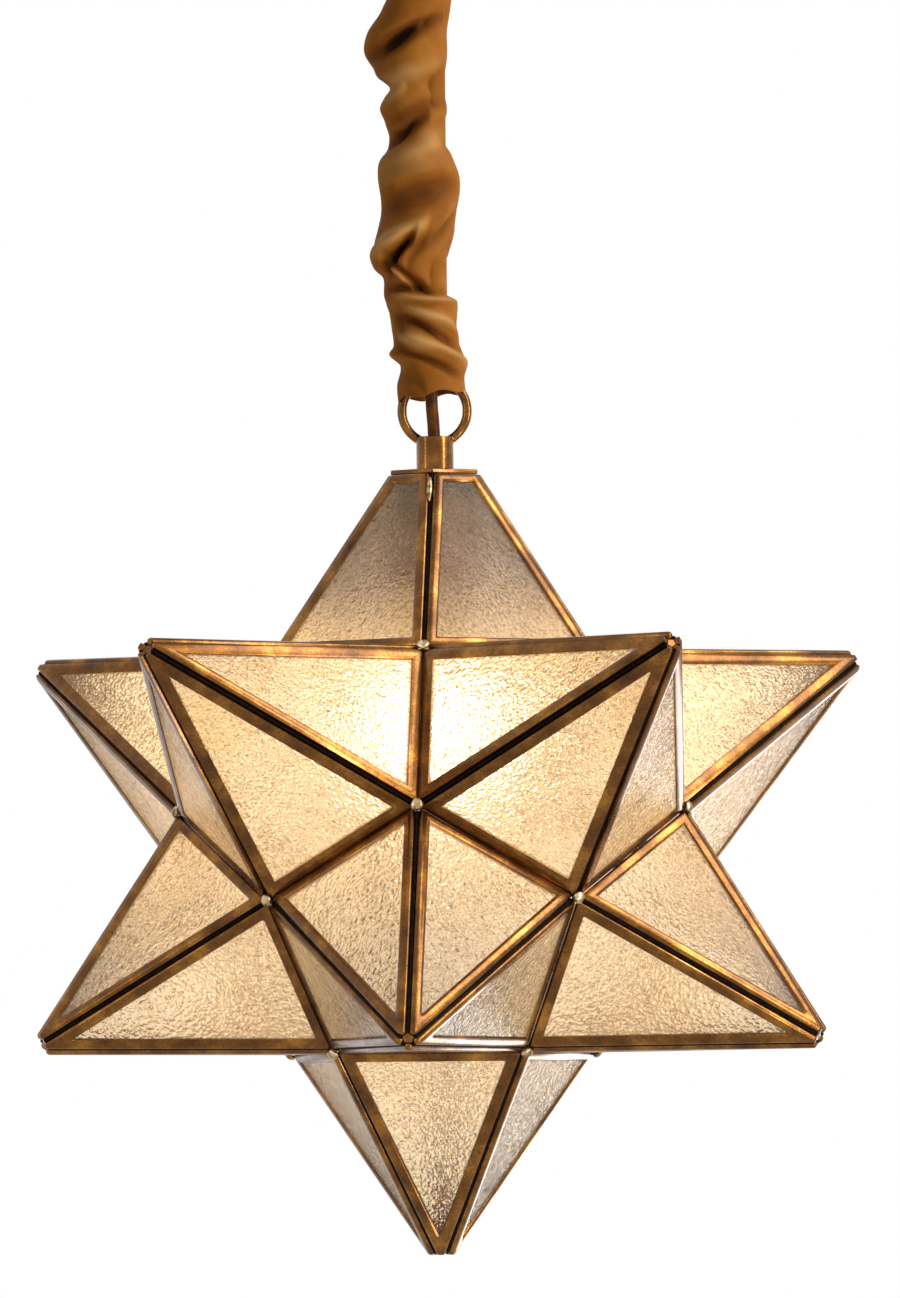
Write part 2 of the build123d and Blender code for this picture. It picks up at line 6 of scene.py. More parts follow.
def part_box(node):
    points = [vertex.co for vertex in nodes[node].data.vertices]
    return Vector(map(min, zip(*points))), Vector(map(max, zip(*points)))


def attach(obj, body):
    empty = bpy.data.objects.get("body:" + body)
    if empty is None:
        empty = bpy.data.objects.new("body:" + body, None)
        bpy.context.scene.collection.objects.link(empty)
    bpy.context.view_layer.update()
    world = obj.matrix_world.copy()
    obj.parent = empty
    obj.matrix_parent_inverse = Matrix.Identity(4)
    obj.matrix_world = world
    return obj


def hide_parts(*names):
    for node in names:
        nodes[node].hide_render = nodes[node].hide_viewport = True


# Moravian star pendant, lit, seen from a little below. Metres, +Z up, -Y is the front.

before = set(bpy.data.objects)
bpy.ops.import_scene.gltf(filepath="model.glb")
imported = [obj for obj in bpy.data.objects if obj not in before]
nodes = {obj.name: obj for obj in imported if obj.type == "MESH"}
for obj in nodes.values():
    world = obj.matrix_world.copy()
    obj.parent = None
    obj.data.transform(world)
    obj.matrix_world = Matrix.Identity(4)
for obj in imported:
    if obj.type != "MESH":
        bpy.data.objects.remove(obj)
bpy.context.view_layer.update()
mm = 0.001

# heights that several pieces share
station = {
    "starMiddle": -445.673 * mm,
    "bulbOver": 63.42 * mm,           # over the star's middle
    "capTop": -278.25 * mm,
    "canopyBottom": -25.0 * mm,
}
starMiddle = Vector((0, 0, station["starMiddle"]))
bulbMiddle = starMiddle + Vector((0, 0, station["bulbOver"]))


# helpers for meshes
def clearSelection():
    if bpy.context.object is not None and bpy.context.object.mode != "OBJECT":
        bpy.ops.object.mode_set(mode="OBJECT")
    bpy.ops.object.select_all(action="DESELECT")


def activate(obj):
    clearSelection()
    obj.select_set(True)
    bpy.context.view_layer.objects.active = obj


def takeNew(name):
    obj = bpy.context.object
    obj.name = name
    obj.data.name = name
    return obj


def freeze(obj):
    # place, turn and scale go into the mesh
    activate(obj)
    bpy.ops.object.transform_apply(location=True, rotation=True, scale=True)


def modify(obj, kind, **values):
    # adds one modifier and applies it at once
    activate(obj)
    mod = obj.modifiers.new(kind.title(), kind)
    for key, value in values.items():
        setattr(mod, key, value)
    bpy.ops.object.modifier_apply(modifier=mod.name)


def enterEdit():
    bpy.ops.object.mode_set(mode="EDIT")


def editAll():
    enterEdit()
    bpy.ops.mesh.select_all(action="SELECT")


def leaveEdit():
    bpy.ops.object.mode_set(mode="OBJECT")


def closeSeams():
    # joins doubled corners, turns the faces outwards and leaves edit mode
    editAll()
    bpy.ops.mesh.remove_doubles(threshold=mm / 100)
    bpy.ops.mesh.normals_make_consistent(inside=False)
    leaveEdit()


def selectVerts(obj, test):
    # in edit mode, selects the vertices that pass the test
    leaveEdit()
    for v in obj.data.vertices:
        v.select = test(v.co)
    for e in obj.data.edges:
        e.select = all(obj.data.vertices[i].select for i in e.vertices)
    for f in obj.data.polygons:
        f.select = all(obj.data.vertices[i].select for i in f.vertices)
    enterEdit()


def cylinder(name, radius, depth, place=(0, 0, 0), vertices=32, turn=0.0):
    clearSelection()
    bpy.ops.mesh.primitive_cylinder_add(
        vertices=vertices, radius=radius, depth=depth, location=place, rotation=(0, 0, turn))
    return takeNew(name)


def drillHole(obj, radius, depth, place):
    drill = cylinder("drill", radius, depth, place)
    freeze(drill)
    modify(obj, "BOOLEAN", operation="DIFFERENCE", object=drill, solver="EXACT")
    bpy.data.objects.remove(drill)


def joinParts(parts, name):
    clearSelection()
    for part in parts:
        part.select_set(True)
    bpy.context.view_layer.objects.active = parts[0]
    bpy.ops.object.join()
    return takeNew(name)


def paint(obj, material):
    obj.data.materials.clear()
    obj.data.materials.append(material)


def finishPiece(obj, body, kind, *hidden):
    # the piece's finish, the body that it rides on and the solids that it replaces
    material, slotName = finish[kind]
    freeze(obj)
    paint(obj, material)
    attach(obj, body)
    if hidden:
        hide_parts(*hidden)


def turnedPiece(name, outline, steps):
    # a profile of (radius, height) pairs, drawn by extruding one vertex, spun round Z
    clearSelection()
    bpy.ops.mesh.primitive_plane_add(size=mm)
    obj = takeNew(name)
    enterEdit()
    bpy.ops.mesh.select_mode(type="VERT")
    bpy.ops.mesh.merge(type="CENTER")
    bpy.ops.transform.translate(value=(outline[0][0], 0, outline[0][1]))
    for (r0, z0), (r1, z1) in zip(outline, outline[1:]):
        bpy.ops.mesh.extrude_region_move(TRANSFORM_OT_translate={"value": (r1 - r0, 0, z1 - z0)})
    bpy.ops.mesh.select_all(action="SELECT")
    bpy.ops.mesh.spin(steps=steps, angle=2 * math.pi, center=(0, 0, 0), axis=(0, 0, 1))
    closeSeams()
    return obj


def smooth(obj, degrees=35):
    activate(obj)
    bpy.ops.object.shade_smooth_by_angle(angle=math.radians(degrees))


class NodeDesk:
    # the node tree of a material or a world
    def __init__(self, name, world=False):
        self.owner = (bpy.data.worlds if world else bpy.data.materials).new(name)
        self.owner.use_nodes = True
        self.tree = self.owner.node_tree
        self.tree.nodes.clear()
        self.out = self.add("ShaderNodeOutputWorld" if world else "ShaderNodeOutputMaterial")
        if not world:
            self.where = self.add("ShaderNodeTexCoord").outputs["Object"]

    def feed(self, socket, value):
        # another node's output goes in, or a constant
        if isinstance(value, bpy.types.NodeSocket):
            self.tree.links.new(value, socket)
        elif socket.type == "RGBA":
            socket.default_value = (*linearColour(value), 1)
        else:
            socket.default_value = value

    def feedAll(self, node, *values):
        for socket, value in zip(node.inputs, values):
            self.feed(socket, value)

    def add(self, kind, **inputs):
        # an underline in the name of a socket stands for a space
        node = self.tree.nodes.new(kind)
        for key, value in inputs.items():
            self.feed(node.inputs[key.replace("_", " ")], value)
        return node

    def noise(self, scale, detail, rough, vector=None):
        return self.add("ShaderNodeTexNoise", Vector=vector or self.where, Scale=scale, Detail=detail,
                        Roughness=rough).outputs["Fac"]

    def cells(self, scale):
        node = self.add("ShaderNodeTexVoronoi", Vector=self.where, Scale=scale)
        node.feature = "SMOOTH_F1"
        return node.outputs["Distance"]

    def ramp(self, fac, stops):
        node = self.add("ShaderNodeValToRGB", Fac=fac)
        band = node.color_ramp
        while len(band.elements) < len(stops):
            band.elements.new(0.5)
        for element, (place, colour) in zip(band.elements, stops):
            element.position = place
            element.color = (*linearColour(colour), 1)
        return node.outputs["Color"]

    def range(self, value, low, high, start, end):
        return self.add("ShaderNodeMapRange", Value=value, From_Min=low, From_Max=high, To_Min=start,
                        To_Max=end).outputs["Result"]

    def math(self, operation, a, b):
        node = self.tree.nodes.new("ShaderNodeMath")
        node.operation = operation
        self.feedAll(node, a, b)
        return node.outputs[0]

    def mix(self, *parts):
        # the sum of (value, share) pairs
        total = None
        for value, share in parts:
            part = self.math("MULTIPLY", value, share)
            total = part if total is None else self.math("ADD", total, part)
        return total

    def distance(self, place):
        node = self.tree.nodes.new("ShaderNodeVectorMath")
        node.operation = "DISTANCE"
        self.feedAll(node, self.where, place)
        return node.outputs["Value"]

    def bump(self, height, strength, distance):
        return self.add("ShaderNodeBump", Height=height, Strength=strength,
                        Distance=distance).outputs["Normal"]

    def blendColour(self, fac, a, b):
        node = self.tree.nodes.new("ShaderNodeMix")
        node.data_type = "RGBA"
        for place, value in ((0, fac), (6, a), (7, b)):
            self.feed(node.inputs[place], value)
        return node.outputs[2]

    def mixShader(self, fac, a, b):
        node = self.tree.nodes.new("ShaderNodeMixShader")
        self.feedAll(node, fac, a, b)
        return node.outputs[0]

    def finish(self, shader):
        self.feed(self.out.inputs["Surface"], shader)
        return self.owner


def linearColour(colour):
    # six hexadecimal digits to linear red, green and blue; a tuple is linear already
    if isinstance(colour, tuple):
        return colour
    parts = [int(colour[i:i + 2], 16) / 255 for i in (0, 2, 4)]
    return tuple(c / 12.92 if c <= 0.04045 else ((c + 0.055) / 1.055) ** 2.4 for c in parts)


# camera
photo = {
    "width": 900, "height": 1298,
    "pixelsPerMetre": 2313.4,
    "distance": 4.4,
    "yaw": 4.3,               # degrees towards the object's right
    "elevation": -2.47,       # seen from a little below
    "roll": -0.5,
    "starPixel": (438.4, 857.2),
    "sensor": 36.0,
    "farthest": 100.0,
}


def placeCamera():
    yaw, tilt = math.radians(photo["yaw"]), math.radians(photo["elevation"])
    back = Vector((math.sin(yaw) * math.cos(tilt), -math.cos(yaw) * math.cos(tilt), math.sin(tilt)))
    right = Vector((math.cos(yaw), math.sin(yaw), 0))
    up = back.cross(right)
    turn = Matrix.Rotation(math.radians(photo["roll"]), 3, back)
    right, up = turn @ right, turn @ up
    scale = photo["pixelsPerMetre"]
    across = (photo["width"] / 2 - photo["starPixel"][0]) / scale
    over = (photo["starPixel"][1] - photo["height"] / 2) / scale
    place = starMiddle + back * photo["distance"] + right * across + up * over
    data = bpy.data.cameras.new("photoCamera")
    data.sensor_width = photo["sensor"]
    data.lens = photo["sensor"] * photo["distance"] * scale / photo["height"]
    data.clip_end = photo["farthest"]
    camera = bpy.data.objects.new("photoCamera", data)
    bpy.context.scene.collection.objects.link(camera)
    camera.matrix_world = Matrix.Translation(place) @ Matrix(
        ((right.x, up.x, back.x), (right.y, up.y, back.y), (right.z, up.z, back.z))).to_4x4()
    bpy.context.scene.camera = camera


placeCamera()
print("camera placed")

# finishes of one skin. Noises by scale, detail and roughness, "both" their mix by shares; then
# the noise that colours, the one that makes rough, and the one for relief, its strength and depth
skinLooks = {
    "antiqueBrass": {
        "cloud": (70.0, 4, 0.5), "grain": (900.0, 2, 0.5), "shares": (0.75, 0.25),
        "colours": ("both", [(0.3, "40230a"), (0.5, "6a4215"), (0.74, "a8742f")]),
        "rough": ("both", 0.30, 0.20), "relief": ("both", 0.3, 0.03 * mm),
        "sockets": {"Metallic": 1.0, "Coat_Weight": 0.25, "Coat_Roughness": 0.12},
    },
    "darkGroove": {
        "cloud": (400.0, 3, 0.6), "colours": ("cloud", [(0.35, "060301"), (0.7, "1c0e04")]),
        "rough": ("cloud", 0.9, 0.7), "relief": ("cloud", 0.5, 0.1 * mm),
        "sockets": {"Specular_IOR_Level": 0.1},
    },
    "solder": {
        "cloud": (320.0, 4, 0.6),
        "colours": ("cloud", [(0.35, "6a4c2c"), (0.55, "cdb288"), (0.72, "f4e6cc")]),
        "rough": ("cloud", 0.42, 0.22), "relief": ("cloud", 0.6, 0.2 * mm),
        "sockets": {"Metallic": 1.0},
    },
    "zincSteel": {
        "cloud": (260.0, 4, 0.6), "grain": (2400.0, 2, 0.5),
        "colours": ("cloud", [(0.3, "7d7a72"), (0.7, "b9b6ad")]),
        "rough": ("cloud", 0.5, 0.34), "relief": ("grain", 0.25, 0.08 * mm),
        "sockets": {"Metallic": 1.0},
    },
    "holderResin": {
        "cloud": (60.0, 2, 0.5), "grain": (1500.0, 3, 0.6),
        "colours": ("cloud", [(0.3, "7d5a34"), (0.7, "a07a4c")]),
        "rough": ("grain", 0.52, 0.38), "relief": ("grain", 0.2, 0.1 * mm), "sockets": {},
    },
    "bulbMetal": {
        "cloud": (300.0, 3, 0.5), "colours": ("cloud", [(0.3, "a8a49a"), (0.7, "d0cdc4")]),
        "rough": ("cloud", 0.34, 0.22), "sockets": {"Metallic": 1.0},
    },
    "cordJacket": {
        "cloud": (180.0, 2, 0.5), "colours": ("cloud", [(0.3, "4a2408"), (0.7, "7a4a16")]),
        "rough": ("cloud", 0.34, 0.24), "sockets": {"Specular_IOR_Level": 0.1},
    },
}
# the stretch of a noise's values that roughness follows
noiseSpread = (0.3, 0.7)


def skinMaterial(name):
    look = skinLooks[name]
    desk = NodeDesk(name)
    noises = {key: desk.noise(*look[key]) for key in ("cloud", "grain") if key in look}
    if "shares" in look:
        noises["both"] = desk.mix(*zip(noises.values(), look["shares"]))
    colourBy, stops = look["colours"]
    roughBy, start, end = look["rough"]
    rough = desk.range(noises[roughBy], *noiseSpread, start, end)
    skin = desk.add("ShaderNodeBsdfPrincipled", Base_Color=desk.ramp(noises[colourBy], stops),
                    Roughness=rough, **look["sockets"])
    if "relief" in look:
        reliefBy, strength, depth = look["relief"]
        desk.feed(skin.inputs["Normal"], desk.bump(noises[reliefBy], strength, depth))
    return desk.finish(skin.outputs[0])


# amber glass. Each range: from, to, what it gives at the one and at the other
glassLook = {
    # what one pane lets through along its grain, from thick glass to thin
    "tints": [(0.42, (0.78, 0.58, 0.38)), (0.56, (0.95, 0.80, 0.58)), (0.69, (1.0, 0.91, 0.76))],
    "surface": (0.66, 0.56, 0.44), "surfaceShare": 0.08,
    "ior": 1.45, "edgeIor": 1.32, "roughness": 0.25, "glossRoughness": 0.14,
    "cells": 720.0, "ripple": (330.0, 3, 0.6), "cloud": (38.0, 3, 0.6), "seeds": (620.0, 2, 0.7),
    # how much of each goes into the relief, the shade and the grain
    "cellShare": 0.8, "rippleShare": 1.0, "reliefShare": 0.45, "cloudShare": 0.65,
    "shadeShare": 0.6, "seedShare": 0.5,
    "bumpStrength": 0.9, "bumpDepth": 0.8 * mm,
    # painted shade: the glass round the holder above the lamp is tinted darker
    "paintedShadeTint": (0.52, 0.41, 0.32),      # the tint above the lamp
    "paintedShadeMiddle": starMiddle + Vector((0, 0, 160 * mm)), "paintedShadeReach": (0.02, 0.11, 0.9, 0.0),
    # painted glow: emission in the glass stands in for the lamplight, with painted glints in the
    # dimples
    "glow": (1.0, 0.58, 0.22),        # lamplight caught in the dimples
    "glowStrength": 0.36, "glowReach": (0.085, 0.25, 1.0, 0.0), "glowFall": 2.2,
    "glowUnderPaintedShade": (0.0, 0.5, 1.0, 0.35), "paintedGlint": (0.52, 0.70, 0.75, 2.2),
}


def paintedGlassGlow(desk, grain, paintedShade):
    # painted glow and glints: emission that fades with the distance from the bulb and under the painted
    # shade
    look = glassLook
    reach = desk.range(desk.distance(bulbMiddle), *look["glowReach"])
    reach = desk.math("MULTIPLY", reach, desk.range(paintedShade, *look["glowUnderPaintedShade"]))
    paintedGlint = desk.range(grain, *look["paintedGlint"])
    level = desk.math("MULTIPLY", desk.math("POWER", reach, look["glowFall"]), paintedGlint)
    return desk.add("ShaderNodeEmission", Color=look["glow"],
                    Strength=desk.math("MULTIPLY", level, look["glowStrength"])).outputs[0]


def amberGlassMaterial():
    # hammered glass: both faces bend what is behind them, dimple by dimple
    look = glassLook
    desk = NodeDesk("amberGlass")
    relief = desk.mix((desk.cells(look["cells"]), look["cellShare"]),
                      (desk.noise(*look["ripple"]), look["rippleShare"]))
    normal = desk.bump(relief, look["bumpStrength"], look["bumpDepth"])
    shade = desk.mix((relief, look["reliefShare"]), (desk.noise(*look["cloud"]), look["cloudShare"]))
    grain = desk.mix((shade, look["shadeShare"]), (desk.noise(*look["seeds"]), look["seedShare"]))
    # painted shade: a darker tint nearer the holder above the lamp
    paintedShade = desk.range(desk.distance(look["paintedShadeMiddle"]), *look["paintedShadeReach"])
    tint = desk.blendColour(paintedShade, desk.ramp(grain, look["tints"]), look["paintedShadeTint"])

    def face(kind, **values):
        return desk.add(kind, Normal=normal, **values).outputs[0]

    bending = {"Roughness": look["roughness"], "IOR": look["ior"]}
    outer = face("ShaderNodeBsdfRefraction", Color=tint, **bending)
    inner = face("ShaderNodeBsdfRefraction", Color=(1, 1, 1), **bending)
    body = desk.mixShader(look["surfaceShare"], outer,
                          face("ShaderNodeBsdfDiffuse", Color=look["surface"]))
    glossy = desk.mixShader(face("ShaderNodeFresnel", IOR=look["edgeIor"]), body,
                            face("ShaderNodeBsdfGlossy", Roughness=look["glossRoughness"]))
    front = desk.tree.nodes.new("ShaderNodeAddShader")
    # the painted glow is added to the outer face
    desk.feedAll(front, glossy, paintedGlassGlow(desk, grain, paintedShade))
    side = desk.add("ShaderNodeNewGeometry").outputs["Backfacing"]
    return desk.finish(desk.mixShader(side, front.outputs[0], inner))


bulbLook = {
    "tints": [(0.45, (1.0, 0.88, 0.70)), (0.8, (1.0, 0.66, 0.32))],    # along its height
    "strength": (0.34, 0.66, 6.0, 0.36),
    "frosting": (700.0, 2, 0.5), "frostShare": 0.05,
}


def litBulbMaterial():
    # brightest round the globe, dim at the neck
    look = bulbLook
    desk = NodeDesk("litBulb")
    part = desk.add("ShaderNodeSeparateXYZ", Vector=desk.where)
    low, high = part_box("bulb_glass")
    height = desk.range(part.outputs["Z"], low.z, high.z, 0.0, 1.0)
    height = desk.mix((height, 1.0), (desk.noise(*look["frosting"]), look["frostShare"]))
    glow = desk.add("ShaderNodeEmission", Color=desk.ramp(height, look["tints"]),
                    Strength=desk.range(height, *look["strength"]))
    return desk.finish(glow.outputs[0])


clothLook = {
    "colours": [(0.3, "84490e"), (0.5, "965a18"), (0.7, "a86d28")],
    # by the fold's depth: from and to, the most that it takes, and its colour there; painted highlight
    # on ridges, painted shade in hollows and creases
    "paintedFoldShades": [(0.52, 0.8, 0.8, "c9985a"), (0.5, 0.28, 0.9, "6b3807"), (0.22, 0.0, 0.95, "200b00")],
    "thread": (2600.0, 2, 0.5), "threadStretch": 0.2,
    "slub": (90.0, 2, 0.4),
    "bumpStrength": 0.25, "bumpDepth": 0.15 * mm,
    "sockets": {
        "Roughness": 0.7, "Specular_IOR_Level": 0.12,
        "Sheen_Weight": 0.03, "Sheen_Roughness": 0.4, "Sheen_Tint": (1.0, 0.7, 0.3),
    },
}


def sleeveClothMaterial():
    # fine velvety cloth: threads run along the UV map, which follows the folds
    look = clothLook
    desk = NodeDesk("sleeveCloth")
    along = desk.add("ShaderNodeTexCoord").outputs["UV"]
    threads = []
    for stretch in ((1.0, look["threadStretch"], 1.0), (look["threadStretch"], 1.0, 1.0)):
        mapping = desk.add("ShaderNodeMapping", Vector=along, Scale=stretch)
        threads.append(desk.noise(*look["thread"], mapping.outputs[0]))
    weave = desk.mix((threads[0], 0.5), (threads[1], 0.5))
    colour = desk.ramp(desk.mix((weave, 0.5), (desk.noise(*look["slub"]), 0.5)), look["colours"])
    # painted highlight on the ridges and painted shade in hollows and creases, from the fold attribute
    fold = desk.tree.nodes.new("ShaderNodeAttribute")
    fold.attribute_name = "fold"
    for start, end, most, tint in look["paintedFoldShades"]:
        foldShade = desk.range(fold.outputs["Fac"], start, end, 0.0, most)
        colour = desk.blendColour(foldShade, colour, tint)
    normal = desk.bump(weave, look["bumpStrength"], look["bumpDepth"])
    skin = desk.add("ShaderNodeBsdfPrincipled", Base_Color=colour, Normal=normal, **look["sockets"])
    return desk.finish(skin.outputs[0])


# the material and the name of its slot
finish = {
    "brass": (skinMaterial("antiqueBrass"), "antique_brass"),
    "groove": (skinMaterial("darkGroove"), "antique_brass"),
    "glass": (amberGlassMaterial(), "amber_glass"),
    "solder": (skinMaterial("solder"), "solder"),
    "zinc": (skinMaterial("zincSteel"), "zinc_steel"),
    "resin": (skinMaterial("holderResin"), "holder_resin"),
    "bulbMetal": (skinMaterial("bulbMetal"), "bulb_metal"),
    "litBulb": (litBulbMaterial(), "lit_bulb"),
    "cord": (skinMaterial("cordJacket"), "cord_jacket"),
    "cloth": (sleeveClothMaterial(), "sleeve_cloth"),
}
print("materials made")

# power cord
cordPiece = {
    "radius": 2.7 * mm,
    "length": 272.1 * mm,
    "route": [
        (0, 0, -287.6), (0, 0, -262.15), (-1.514, -5.651, -244.2),
        (-1.514, -5.651, -59.05), (0, 0, -41.1), (0, 0, -16.8),
    ],
}


def makeCord():
    curve = bpy.data.curves.new("powerCord", "CURVE")
    curve.dimensions = "3D"
    curve.bevel_depth = cordPiece["radius"]
    curve.bevel_resolution = 5
    curve.use_fill_caps = True
    spline = curve.splines.new("NURBS")
    spline.points.add(len(cordPiece["route"]) - 1)
    for point, (x, y, z) in zip(spline.points, cordPiece["route"]):
        point.co = (x * mm, y * mm, z * mm, 1)
    spline.order_u = 3
    spline.use_endpoint_u = True
    spline.resolution_u = 12
    cord = bpy.data.objects.new("powerCord", curve)
    bpy.context.scene.collection.objects.link(cord)
    curve.materials.append(finish["cord"][0])
    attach(cord, "chain")
    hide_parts("power_cord")


makeCord()
print("cord made")

# loops, cast with their stems
loopPiece = {
    "ringRadius": 14.15 * mm, "wire": 2.05 * mm,
    "stemRadius": 8.05 * mm, "stemHeight": 14.6 * mm,
    "ringOverSeat": 25.8 * mm,
    "bore": 3.6 * mm, "boreOver": 5.0 * mm, "nippleRadius": 4.88 * mm, "nippleGrip": 7.05 * mm,
    "ringSteps": 96, "wireSteps": 24, "stemSteps": 64, "boreSteps": 48,
    "voxel": 0.32 * mm, "smoothing": 0.5, "smoothTimes": 5,
    "canopyTurn": -30.0,                  # degrees, the canopy's ring against the chain
}


def castLoop(name):
    # stands on z = 0 with its ring in the XZ plane
    ls = loopPiece
    clearSelection()
    bpy.ops.mesh.primitive_torus_add(
        location=(0, 0, ls["ringOverSeat"]), rotation=(math.pi / 2, 0, 0),
        major_radius=ls["ringRadius"], minor_radius=ls["wire"],
        major_segments=ls["ringSteps"], minor_segments=ls["wireSteps"])
    ring = takeNew(name)
    freeze(ring)
    stem = turnedPiece(name + "Stem", [
        (0, 0), (ls["stemRadius"], 0), (ls["stemRadius"], ls["stemHeight"]),
        (0, ls["stemHeight"])], ls["stemSteps"])
    boreTop = ls["stemHeight"] + ls["boreOver"]
    bore = turnedPiece(name + "Bore", [
        (0, -mm), (ls["nippleRadius"], -mm), (ls["nippleRadius"], ls["nippleGrip"]),
        (ls["bore"], ls["nippleGrip"]), (ls["bore"], boreTop), (0, boreTop)], ls["boreSteps"])
    modify(ring, "BOOLEAN", operation="UNION", object=stem, solver="EXACT")
    modify(ring, "BOOLEAN", operation="DIFFERENCE", object=bore, solver="EXACT")
    for helper in (stem, bore):
        bpy.data.objects.remove(helper)
    modify(ring, "REMESH", mode="VOXEL", voxel_size=ls["voxel"])
    modify(ring, "SMOOTH", factor=ls["smoothing"], iterations=ls["smoothTimes"])
    smooth(ring, 80)
    return ring


hangingLoop = castLoop("hangingLoop")
hangingLoop.location = (0, 0, station["capTop"])
finishPiece(hangingLoop, "star", "brass", "hanging_loop")
canopyLoop = castLoop("canopyLoop")
canopyLoop.rotation_euler = (math.pi, 0, math.radians(loopPiece["canopyTurn"]))
canopyLoop.location = (0, 0, station["canopyBottom"])
finishPiece(canopyLoop, "canopy", "brass", "canopy_loop")
print("loops cast")

# cap over the top point
capPiece = {
    "corner": 20.0 * mm, "thick": 2.4 * mm, "rounding": 0.8 * mm, "bore": 5.0 * mm,
}


def makeCap():
    # five corners over the five ridges, a hole for the nipple
    cs = capPiece
    cap = cylinder("topCap", cs["corner"], cs["thick"],
                   (0, 0, station["capTop"] - cs["thick"] / 2), vertices=5, turn=math.pi)
    freeze(cap)
    modify(cap, "BEVEL", width=cs["rounding"], segments=4, limit_method="ANGLE",
           angle_limit=math.radians(40))
    drillHole(cap, cs["bore"], 4 * cs["thick"], (0, 0, station["capTop"]))
    smooth(cap, 50)
    finishPiece(cap, "star", "brass", "top_cap")


makeCap()
print("cap pressed")

# chain
chainPiece = {
    "count": 6, "topZ": -61.5 * mm, "pitch": 29.65 * mm, "length": 32.0 * mm,
    "half": 4.4 * mm, "wire": 1.1 * mm, "bendSteps": 48, "wireSteps": 16,
    "lowestTurn": -60.0, "turnStep": 90.0,
}


def chainLink(name, z, turn):
    # half a ring, its two ends drawn down to the middle, mirrored
    cs = chainPiece
    clearSelection()
    straight = cs["length"] / 2 - cs["half"]
    bpy.ops.mesh.primitive_torus_add(
        rotation=(math.pi / 2, 0, 0), major_radius=cs["half"], minor_radius=cs["wire"],
        major_segments=cs["bendSteps"], minor_segments=cs["wireSteps"])
    link = takeNew(name)
    freeze(link)
    enterEdit()
    bpy.ops.mesh.select_mode(type="VERT")
    selectVerts(link, lambda co: co.z < -mm / 100)
    bpy.ops.mesh.delete(type="VERT")
    selectVerts(link, lambda co: abs(co.z) < mm / 100)
    bpy.ops.mesh.extrude_region_move(TRANSFORM_OT_translate={"value": (0, 0, -straight)})
    bpy.ops.mesh.select_all(action="SELECT")
    bpy.ops.transform.translate(value=(0, 0, straight))
    leaveEdit()
    modify(link, "MIRROR", use_axis=(False, False, True), use_mirror_merge=True,
           merge_threshold=mm / 50)
    closeSeams()
    smooth(link, 60)
    link.rotation_euler = (0, 0, math.radians(turn))
    link.location = (0, 0, z - cs["length"] / 2)
    freeze(link)
    return link


def makeChain():
    cs = chainPiece
    links = []
    for k in range(cs["count"]):
        turn = cs["lowestTurn"] + cs["turnStep"] * ((cs["count"] - 1 - k) % 2)
        links.append(chainLink("chainLink%d" % (k + 1), cs["topZ"] - k * cs["pitch"], turn))
    finishPiece(links[0], "top_link", "brass", "top_link")
    finishPiece(links[-1], "bottom_link", "brass", "bottom_link")
    finishPiece(links[1], "chain", "brass", "chain_links")
    for link in links[2:-1]:
        finishPiece(link, "chain", "brass")


makeChain()
print("chain made")

